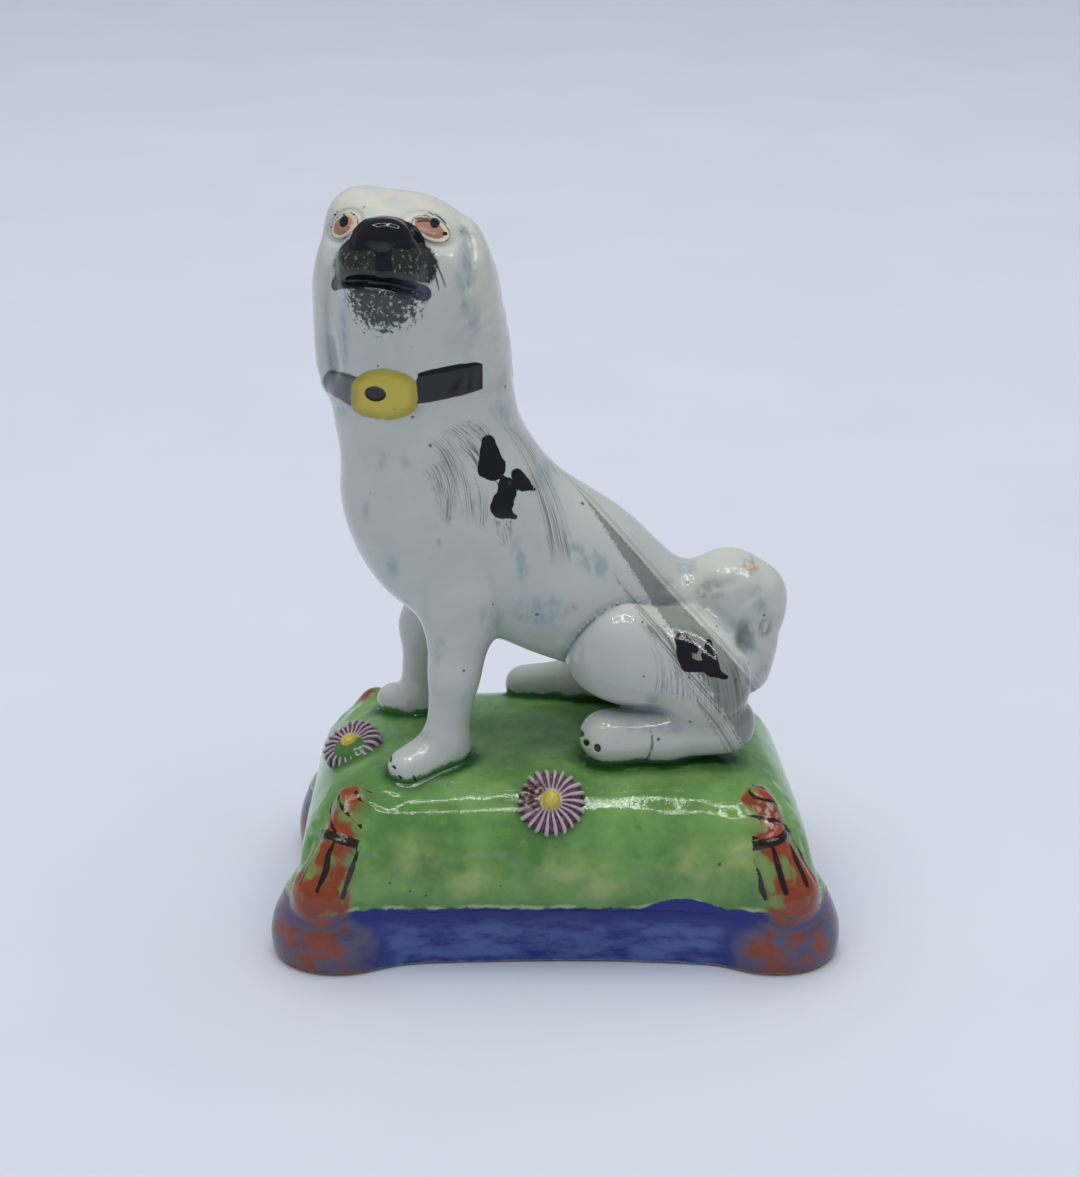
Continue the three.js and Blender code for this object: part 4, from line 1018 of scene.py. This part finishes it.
class Graph:
    def __init__(self, name):
        self.mat = bpy.data.materials.new(name)
        self.mat.use_nodes = True
        self.t = self.mat.node_tree
        self.t.nodes.clear()
        self.out = self.t.nodes.new("ShaderNodeOutputMaterial")
        self.bsdf = self.t.nodes.new("ShaderNodeBsdfPrincipled")
        self.t.links.new(self.bsdf.outputs[0], self.out.inputs[0])
        tc = self.t.nodes.new("ShaderNodeTexCoord")
        sc = self.t.nodes.new("ShaderNodeVectorMath")
        sc.operation = "SCALE"
        sc.inputs[3].default_value = 1000.0
        self.t.links.new(tc.outputs["Object"], sc.inputs[0])
        self.mm = Sock(self, sc.outputs[0])

    def put(self, sock, v):
        if isinstance(v, Sock):
            self.t.links.new(v.s, sock)
        elif isinstance(v, (tuple, list)) and len(v) == 3 and sock.type == "RGBA":
            sock.default_value = (*v, 1.0)
        else:
            sock.default_value = v

    def math(self, op, a, b=None, c=None, clamp=False):
        n = self.t.nodes.new("ShaderNodeMath")
        n.operation = op
        n.use_clamp = clamp
        for i, v in enumerate((a, b, c)):
            if v is not None:
                self.put(n.inputs[i], v)
        return Sock(self, n.outputs[0])

    def lo(self, a, b): return self.math("MINIMUM", a, b)
    def hi(self, a, b): return self.math("MAXIMUM", a, b)
    def power(self, a, b): return self.math("POWER", a, b)
    def clamp(self, a): return self.math("ADD", a, 0.0, clamp=True)

    def attr(self, name, out="Fac"):
        n = self.t.nodes.new("ShaderNodeAttribute")
        n.attribute_name = name
        return Sock(self, n.outputs[out])

    def split(self, v):
        n = self.t.nodes.new("ShaderNodeSeparateXYZ")
        self.put(n.inputs[0], v)
        return [Sock(self, n.outputs[i]) for i in range(3)]

    def join(self, x, y, z):
        n = self.t.nodes.new("ShaderNodeCombineXYZ")
        for i, v in enumerate((x, y, z)):
            self.put(n.inputs[i], v)
        return Sock(self, n.outputs[0])

    def step(self, x, lo, hi, smooth=True):
        n = self.t.nodes.new("ShaderNodeMapRange")
        n.interpolation_type = "SMOOTHSTEP" if smooth else "LINEAR"
        n.clamp = True
        self.put(n.inputs["Value"], x)
        n.inputs["From Min"].default_value = lo
        n.inputs["From Max"].default_value = hi
        n.inputs["To Min"].default_value = 0.0
        n.inputs["To Max"].default_value = 1.0
        return Sock(self, n.outputs["Result"])

    def noise(self, scale, detail=2.0, rough=0.5, vec=None, shift=0.0, warp=0.0):
        n = self.t.nodes.new("ShaderNodeTexNoise")
        v = self.mm if vec is None else vec
        if shift:
            m = self.t.nodes.new("ShaderNodeVectorMath")
            m.operation = "ADD"
            self.put(m.inputs[0], v)
            m.inputs[1].default_value = (shift, shift * 1.7, -shift)
            v = Sock(self, m.outputs[0])
        self.put(n.inputs["Vector"], v)
        n.inputs["Scale"].default_value = scale
        n.inputs["Detail"].default_value = detail
        n.inputs["Roughness"].default_value = rough
        n.inputs["Distortion"].default_value = warp
        return Sock(self, n.outputs[0])

    def stretched(self, v, sx, sy, sz):
        m = self.t.nodes.new("ShaderNodeVectorMath")
        m.operation = "MULTIPLY"
        self.put(m.inputs[0], v)
        m.inputs[1].default_value = (sx, sy, sz)
        return Sock(self, m.outputs[0])

    def cells(self, scale, feature="F1", vec=None):
        n = self.t.nodes.new("ShaderNodeTexVoronoi")
        n.feature = feature
        self.put(n.inputs["Vector"], self.mm if vec is None else vec)
        n.inputs["Scale"].default_value = scale
        return Sock(self, n.outputs["Distance"]), (Sock(self, n.outputs["Color"]) if feature == "F1" else None)

    def specks(self, scale, size, share):
        """Scattered round dots: 1 inside. size is in mm, share is the part of the cells that has one."""
        d, c = self.cells(scale)
        r, g, b = self.split(c)
        lim = g * (size * scale)
        return self.step(lim - d, 0.0, 0.05) * self.step(r, 1 - share, 1 - share + 0.01)

    def mix(self, t, a, b, mode="MIX"):
        n = self.t.nodes.new("ShaderNodeMix")
        n.data_type = "RGBA"
        n.blend_type = mode
        n.clamp_factor = True
        self.put(n.inputs[0], t)
        self.put(n.inputs[6], a)
        self.put(n.inputs[7], b)
        return Sock(self, n.outputs[2])

    def bump(self, height, strength, distance):
        n = self.t.nodes.new("ShaderNodeBump")
        n.inputs["Strength"].default_value = strength
        n.inputs["Distance"].default_value = distance
        self.put(n.inputs["Height"], height)
        return Sock(self, n.outputs[0])

    def finish(self, colour, roughness, normal, ior=1.5, level=0.5):
        self.put(self.bsdf.inputs["Base Color"], colour)
        self.put(self.bsdf.inputs["Roughness"], roughness)
        self.put(self.bsdf.inputs["Normal"], normal)
        self.bsdf.inputs["IOR"].default_value = ior
        self.bsdf.inputs["Specular IOR Level"].default_value = level
        return self.mat


# ------------------------------------------------------------------ glazes and enamels
def white_glaze():
    g = Graph("white_glaze_painted")
    crease, deep = g.attr("crease"), g.attr("deep")
    mott = g.noise(0.16, 3, 0.55)
    fine = g.noise(1.4, 3, 0.6, shift=11)
    base = g.mix(mott, (0.50, 0.53, 0.50), (0.62, 0.64, 0.60))
    # cream glaze, partly a painted highlight on the crown, the near ear, the tail and the hind feet
    base = g.mix(g.attr("cream_and_highlight") * g.step(g.noise(0.3, 2, shift=5), 0.2, 0.75) * 0.75, base, (0.70, 0.67, 0.55))
    # darker blue-grey in creases and deep hollows: partly glaze pooled thick there, partly painted shade
    glaze_pool_and_shade = g.clamp(g.step(crease, 0.10, 0.75) * 0.75 + g.step(deep, 0.12, 0.7) * 0.35)
    base = g.mix(glaze_pool_and_shade * 0.75, base, (0.20, 0.28, 0.30))
    smear = g.attr("smear") * g.step(g.noise(0.55, 3, 0.6, vec=g.stretched(g.mm, 1.0, 1.0, 0.45), shift=31), 0.30, 0.68)
    base = g.mix(smear * 0.60, base, (0.22, 0.31, 0.38))
    base = g.mix(g.step(crease, -0.25, -0.9) * 0.35, base, (0.74, 0.73, 0.64))
    base = g.mix(g.step(fine, 0.62, 0.80) * 0.16, base, (0.32, 0.34, 0.32))
    st = g.attr("stain")
    base = g.mix(st * g.step(g.noise(0.9, 4, 0.7, shift=41), 0.38, 0.62) * 0.75, base, (0.34, 0.24, 0.10))
    # green glaze run up over the feet
    reach = g.attr("near") - g.noise(0.45, 3, 0.6, shift=17) * 2.6
    base = g.mix(g.step(reach, 0.15, -0.55), base, (0.10, 0.26, 0.07))
    # brushwork
    for i, name in enumerate(FANS):
        u, v, m = g.split(g.attr(name, "Vector"))
        s = g.noise(1.0, 3, 0.65, vec=g.join(u * 1.55, v * 1.7, 3.1 * i))
        dens = g.noise(1.0, 1, 0.5, vec=g.join(u * 0.35, v * 2.6, 7.7 * i))
        base = g.mix(g.step(s, 0.44, 0.66) * m * (0.30 + dens * 0.95), base, (0.055, 0.058, 0.045))
    # sponged and stippled muzzle
    soot = g.attr("soot")
    sp = g.noise(1.5, 3, 0.62, shift=51)
    tn = g.attr("tan")
    base = g.mix(tn * 0.80, base, (0.17, 0.145, 0.10))
    dark = g.step(sp - (0.78 - soot * 0.42), -0.05, 0.10) * g.step(soot, 0.02, 0.2)
    base = g.mix(dark * 0.94, base, (0.012, 0.013, 0.014))
    # eyes
    base = g.mix(g.step(g.attr("rim"), 0.05, -0.05) * 0.8, base, (0.62, 0.54, 0.38))
    base = g.mix(g.step(g.attr("flesh"), 0.08, -0.10), base, g.mix(g.noise(1.3, 2, shift=61), (0.30, 0.13, 0.09), (0.46, 0.27, 0.19)))
    base = g.mix(g.step(g.attr("lid"), 0.06, -0.06) * 0.85, base, (0.07, 0.035, 0.018))
    base = g.mix(g.step(g.attr("ink"), 0.09, -0.06) * 0.85, base, (0.03, 0.03, 0.026))
    base = g.mix(g.step(g.attr("crack"), 0.10, -0.04) * 0.8, base, (0.06, 0.06, 0.045))
    base = g.mix(g.step(g.attr("claw"), 0.06, -0.10), base, g.mix(g.step(g.attr("claw"), -0.22, -0.38), (0.012, 0.009, 0.007), (0.17, 0.085, 0.03)))
    # collar
    y = g.step(g.attr("yellow"), 0.10, -0.12)
    base = g.mix(g.step(g.attr("collar"), 0.14, -0.18) * 0.86, base, (0.035, 0.038, 0.045))
    gold = g.mix(g.step(g.attr("yellow"), -0.2, -1.8), (0.40, 0.34, 0.035), (0.62, 0.50, 0.045))
    base = g.mix(y * 0.97, base, gold)
    # solid black
    m = g.attr("mouth")
    blk = g.mix(g.attr("bluish") * 0.85, (0.006, 0.007, 0.010), (0.050, 0.060, 0.085))
    base = g.mix(g.step(m, 0.10, -0.14) * 0.98, base, blk)
    k = g.step(g.attr("black") + (fine - 0.5) * 0.10, 0.05, -0.06)
    base = g.mix(k, base, g.mix(g.noise(0.8, 2, shift=71), (0.004, 0.005, 0.008), (0.014, 0.010, 0.012)))
    base = g.mix(g.specks(0.42, 0.42, 0.30) * 0.80, base, (0.05, 0.045, 0.035))
    rough = 0.055 + g.noise(0.7, 3, 0.6, shift=81) * 0.07
    h = g.noise(1.1, 3, 0.55, shift=91) * 0.7 + g.noise(4.0, 2, 0.5) * 0.12 - g.specks(0.42, 0.42, 0.30) * 0.5
    return g.finish(base, rough, g.bump(h, 0.28, 0.00012))


def cushion_glaze():
    g = Graph("cushion_glaze_painted")
    crease, deep, z = g.attr("crease"), g.attr("deep"), g.attr("height")
    n1, n2 = g.noise(0.10, 3, 0.55), g.noise(0.42, 4, 0.6, shift=13)
    base = g.mix(g.step(n1, 0.30, 0.72), (0.105, 0.245, 0.062), (0.21, 0.40, 0.115))
    base = g.mix(g.step(n2, 0.50, 0.80) * 0.55, base, (0.27, 0.44, 0.12))
    base = g.mix(g.step(n2, 0.46, 0.22) * 0.55, base, (0.055, 0.17, 0.035))
    base = g.mix(g.attr("pale") * g.step(g.noise(0.25, 2, shift=23), 0.30, 0.70) * 0.62, base, (0.46, 0.50, 0.20))
    # dark green in creases and deep hollows of the cushion: partly glaze pooled there, partly painted shade
    glaze_pool_and_shade = g.clamp(g.step(crease, 0.08, 0.55) * 0.75 + g.step(deep, 0.10, 0.6) * 0.5)
    # dark green right against the dog: a painted contact shadow, with glaze pooled round the feet
    feet = g.step(g.attr("dog") - g.noise(0.4, 3, shift=33) * 2.4, 1.0, -1.2)
    base = g.mix(g.clamp(glaze_pool_and_shade + feet * 0.55), base, (0.022, 0.10, 0.018))
    # darker green in a ring round each daisy: painted shade under its rim, partly glaze pooled there
    base = g.mix(g.step(g.attr("daisy"), 6.8, 4.4) * 0.6, base, (0.018, 0.07, 0.014))
    base = g.mix(g.step(crease, -0.12, -0.6) * 0.30, base, (0.42, 0.52, 0.24))
    # painted shade: darker green low on the cushion, where it rounds under towards the band
    base = g.mix(g.step(z, 13.2, 11.4) * 0.45, base, (0.06, 0.20, 0.03))
    # cobalt band
    edge = z - 11.0 + (n2 - 0.5) * 1.3 - g.step(g.attr("spill"), 3.6, 0.6) * 2.4
    band = g.step(edge, 0.22, -0.22)
    # pale green line just above the band: a painted highlight along the lip
    pale_lip_highlight = g.step(edge, 0.75, 0.15) * g.step(g.noise(0.22, 3, shift=43), 0.46, 0.60)
    base = g.mix(pale_lip_highlight * 0.75, base, (0.50, 0.56, 0.36))
    thin = g.noise(0.20, 4, 0.62, vec=g.stretched(g.mm, 0.7, 0.7, 1.8), shift=53)
    blue = g.mix(g.clamp(g.step(z, 9.8, 5.6) * g.step(thin, 0.30, 0.62) * 1.1), (0.002, 0.006, 0.20), (0.075, 0.125, 0.36))
    blue = g.mix(g.step(g.attr("red"), 2.6, 0.7) * 0.8, blue, (0.003, 0.008, 0.18))
    base = g.mix(band, base, blue)
    # iron red pads and tassels
    redn = g.noise(0.35, 4, 0.6, shift=63)
    red = g.mix(redn, (0.17, 0.028, 0.011), (0.33, 0.068, 0.032))
    red = g.mix(g.step(z, 9.0, 16.0) * 0.35, red, (0.36, 0.075, 0.020))
    worn = g.step(g.noise(1.7, 4, 0.7, shift=73), 0.66, 0.72) * g.clamp(g.step(crease, 0.02, -0.35) * 0.8 + g.step(z, 3.0, 0.6) * 0.9 + 0.10)
    red = g.mix(worn * 0.8, red, (0.50, 0.42, 0.34))
    red = g.mix(g.attr("worn") * g.step(g.noise(0.9, 3, shift=83), 0.45, 0.55), red, (0.52, 0.36, 0.32))
    rd = g.step(g.attr("red") + (n2 - 0.5) * 0.5, 0.30, 0.02)
    base = g.mix(g.step(g.attr("red"), 1.0, 0.2) * 0.35, base, (0.26, 0.20, 0.06))
    base = g.mix(rd, base, red)
    base = g.mix(g.step(g.attr("black") + (redn - 0.5) * 0.4, 0.10, -0.10) * 0.95, base, (0.010, 0.006, 0.005))
    base = g.mix(g.specks(0.35, 0.40, 0.22) * 0.75, base, (0.02, 0.035, 0.015))
    base = g.mix(g.step(g.attr("edge") - g.noise(0.6, 3, shift=93) * 0.9, 0.20, -0.15) * 0.75, base, (0.42, 0.37, 0.29))
    rough = 0.05 + g.noise(0.6, 3, 0.6, shift=101) * 0.07 + rd * 0.07 + worn * rd * 0.3
    h = g.noise(0.9, 3, 0.55, shift=111) * 0.8 + g.noise(3.6, 2) * 0.12 - g.specks(0.35, 0.40, 0.22) * 0.4
    return g.finish(base, rough, g.bump(h, 0.30, 0.00013))


def daisy_glaze():
    g = Graph("daisy_glaze_painted")
    pet, r = g.attr("petal"), g.attr("reach")
    n = g.noise(1.3, 3, 0.6)
    purple = g.mix(g.step(n, 0.35, 0.65), (0.085, 0.018, 0.060), (0.19, 0.055, 0.15))
    line = g.step(pet + (n - 0.5) * 0.9, 0.42, -0.10)
    base = g.mix(g.step(r, 4.5, 3.4) * 0.25, (0.50, 0.44, 0.44), (0.40, 0.28, 0.34))
    base = g.mix(line * 0.95, base, purple)
    w = g.attr("worn")
    base = g.mix(w * 0.9, base, g.mix(g.step(g.noise(1.1, 3, shift=5), 0.50, 0.58), (0.085, 0.028, 0.020), (0.46, 0.38, 0.32)))
    base = g.mix(g.step(g.attr("button"), 0.45, 0.12) * 0.7, base, (0.46, 0.42, 0.34))
    base = g.mix(g.step(g.attr("button") + (n - 0.5) * 0.3, 0.10, -0.03), base, g.mix(n, (0.52, 0.40, 0.03), (0.74, 0.62, 0.12)))
    base = g.mix(g.step(g.attr("under"), 0.15, 0.6) * 0.75, base, (0.16, 0.22, 0.13))
    rough = 0.06 + n * 0.09
    return g.finish(base, rough, g.bump(g.noise(2.4, 3), 0.25, 0.00008))


# ------------------------------------------------------------------ from numbers to meshes
def build(name, V, Q, T, attrs, material, node):
    me = bpy.data.meshes.new(name)
    nq, nt = len(Q), len(T)
    me.vertices.add(len(V))
    me.vertices.foreach_set("co", (V * 0.001).astype(np.float32).ravel())
    loops = np.concatenate([Q.ravel(), T.ravel()]).astype(np.int32)
    me.loops.add(len(loops))
    me.loops.foreach_set("vertex_index", loops)
    me.polygons.add(nq + nt)
    start = np.concatenate([np.arange(nq) * 4, nq * 4 + np.arange(nt) * 3]).astype(np.int32)
    me.polygons.foreach_set("loop_start", start)
    me.update(calc_edges=True)
    me.validate()
    me.shade_smooth()
    for k, v in attrs.items():
        v = np.asarray(v, np.float32)
        if v.ndim == 2:
            a = me.attributes.new(k, "FLOAT_VECTOR", "POINT")
            a.data.foreach_set("vector", v.ravel())
        else:
            a = me.attributes.new(k, "FLOAT", "POINT")
            a.data.foreach_set("value", v)
    ob = bpy.data.objects.new(name, me)
    bpy.context.scene.collection.objects.link(ob)
    me.materials.append(material)
    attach(ob, "root")
    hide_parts(node)
    return ob


def around(V, marks, r):
    m = np.zeros(len(V), bool)
    for k in marks:
        m |= ((V - on_body(k)) ** 2).sum(1) < r * r
    return m


settle_marks(lambda P: np.minimum(dog_field(P), cushion_field(P)))
NONE = np.zeros((0, 3), np.int64)

V, Q = skin(dog_surface, (-41, -21, 26), (41, 24, 124), 0.58)
T = NONE
V, Q, T = refine(dog_surface, V, Q, T, lambda C: ((C[:, 1] < -3.5) & (C[:, 2] > 88) & (C[:, 0] < -8.5)) | around(C, CLAWS_HIND + [c[0] for c in CLAWS_FORE] + list(CRACK), 3.4)
                 | around(C, [HOLLOW, DENT], 5.0), 0.12)
V, Q, T = refine(dog_surface, V, Q, T, lambda C: around(C, [EYE_L["c"]], 3.6) | around(C, [EYE_R["c"]], 4.2) | around(C, [w[1] for w in WHISKERS], 4.2)
                 | around(C, CLAWS_HIND + [c[0] for c in CLAWS_FORE], 1.5) | around(C, [HOLE], 2.4), 0.07)
N = normals(dog_surface, V, 0.25)
build("dog_glazed", V, Q, T, paint_dog(V, N), white_glaze(), "dog")

V, Q = skin(cushion_surface, (-49, -33, -2), (49, 33, 38), 0.66)


def tassel_zone(C):
    m = np.zeros(len(C), bool)
    for c in corners():
        s, a, r = tassel_coords(C, c)
        m |= (s > -4) & (s < 16.5) & (r < 7.5) & (C[:, 2] > 8)
    return m


V, Q, T = refine(cushion_surface, V, Q, NONE, tassel_zone, 0.14)
N = normals(cushion_surface, V, 0.25)
build("cushion_glazed", V, Q, T, paint_cushion(V, N), cushion_glaze(), "cushion_base")

FLORET = daisy_glaze()
for node, D, seed, lo, hi in (("daisy_front", DAISY_FRONT, 1, (-7.7, -29, 19), (6.3, -15, 35)), ("daisy_left", DAISY_LEFT, 2, (-40.5, -10.5, 22.5), (-26.5, 3.5, 36.5))):
    F = (lambda P, D=D, seed=seed: daisy_surface(P, D, seed))
    V, Q = skin(F, lo, hi, 0.15)
    N = normals(F, V, 0.06)
    build(node + "_glazed", V, Q, NONE, paint_daisy(V, N, D, seed), FLORET, node)


# ------------------------------------------------------------------ floor, backdrop, light and camera
def stage_mesh(name, verts, faces, material, smooth=True):
    me = bpy.data.meshes.new(name)
    me.from_pydata(verts, [], faces)
    me.update()
    if smooth:
        me.shade_smooth()
    ob = bpy.data.objects.new(name, me)
    bpy.context.scene.collection.objects.link(ob)
    me.materials.append(material)
    return ob


def paper():
    g = Graph("backdrop_paper")
    n = g.noise(0.02, 3, 0.5)
    c = g.mix(n, (0.66, 0.71, 0.79), (0.70, 0.75, 0.83))
    g.bsdf.inputs["Specular IOR Level"].default_value = 0.2
    return g.finish(c, 0.45 + n * 0.2, g.bump(g.noise(0.8, 3), 0.1, 0.0001), level=0.2)


R, BACK = 0.9, 1.1
rows = [(-2.0, 0.0), (-0.6, 0.0), (0.0, 0.0), (BACK, 0.0)]
rows += [(BACK + R * math.sin(a), R - R * math.cos(a)) for a in np.linspace(0, math.pi / 2, 24)[1:]] + [(BACK + R, 4.0)]
cove = [(x, y, z) for y, z in rows for x in (-3.0, 3.0)]
stage_mesh("backdrop", cove, [(2 * i, 2 * i + 1, 2 * i + 3, 2 * i + 2) for i in range(len(rows) - 1)], paper())


def area(name, at, aim, size, power, colour, glossy):
    li = bpy.data.lights.new(name, "AREA")
    li.shape = "RECTANGLE"
    li.size, li.size_y = size
    li.energy = power
    li.color = colour
    ob = bpy.data.objects.new(name, li)
    ob.location = at
    ob.rotation_euler = (Vector(aim) - Vector(at)).to_track_quat("-Z", "Y").to_euler()
    ob.visible_glossy = glossy
    bpy.context.scene.collection.objects.link(ob)
    return ob


area("light_above", (0.0, 0.05, 1.25), (0, 0.02, 0), (1.7, 1.7), 19.0, (1.0, 0.985, 0.96), False)
area("light_front", (-0.4, -1.5, 0.9), (0, 0, 0.05), (1.6, 1.0), 1.6, (0.88, 0.94, 1.0), False)


def glow(strength, colour):
    m = bpy.data.materials.new("lamp_tube")
    m.use_nodes = True
    t = m.node_tree
    t.nodes.clear()
    e, o = t.nodes.new("ShaderNodeEmission"), t.nodes.new("ShaderNodeOutputMaterial")
    e.inputs[0].default_value = (*colour, 1)
    e.inputs[1].default_value = strength
    t.links.new(e.outputs[0], o.inputs[0])
    return m


def loop_lamp(name, at, size, tube, tilt, spin, material):
    """A flat rectangular ring of light, seen only in reflections."""
    a, b = size[0] / 2, size[1] / 2
    pts = []
    for s in (0, tube):
        r = 0.25 * min(a, b)
        for cx, cy, q in ((a - r, b - r, 0), (-a + r, b - r, 1), (-a + r, -b + r, 2), (a - r, -b + r, 3)):
            for k in range(7):
                w = (q + k / 6) * math.pi / 2
                pts.append((cx + (r - s) * math.cos(w), cy + (r - s) * math.sin(w)))
    n = len(pts) // 2
    ct, st = math.cos(tilt), math.sin(tilt)
    cs, ss = math.cos(spin), math.sin(spin)
    verts = []
    for x, y in pts:
        x, y = x * cs - y * ss, x * ss + y * cs
        verts.append((at[0] + x, at[1] + y * ct, at[2] + y * st))
    ob = stage_mesh(name, verts, [(i, (i + 1) % n, n + (i + 1) % n, n + i) for i in range(n)], material, False)
    ob.visible_camera = ob.visible_diffuse = ob.visible_shadow = False
    return ob


TUBE = glow(26.0, (1.0, 1.0, 1.0))
loop_lamp("lamp_loop_left", (-0.16, -0.20, 0.78), (0.34, 0.30), 0.016, 0.0, 0.12, TUBE)
loop_lamp("lamp_loop_right", (0.24, -0.20, 0.78), (0.40, 0.30), 0.016, 0.0, -0.1, TUBE)

world = bpy.data.worlds.new("room")
world.use_nodes = True
world.node_tree.nodes["Background"].inputs[0].default_value = (0.62, 0.70, 0.80, 1)
world.node_tree.nodes["Background"].inputs[1].default_value = 0.32
bpy.context.scene.world = world
bpy.context.scene.view_settings.view_transform = "Standard"

cam = bpy.data.cameras.new("camera")
cam.sensor_width = 36.0
cam.sensor_fit = "AUTO"
cam.lens = 2800.0 * 36.0 / 1177.0
cam.clip_start = 0.01
eye = bpy.data.objects.new("camera", cam)
eye.location = (-0.0025, -0.4173, 0.2234)
eye.rotation_euler = (math.radians(68.0), 0.0, 0.0)
bpy.context.scene.collection.objects.link(eye)
bpy.context.scene.camera = eye
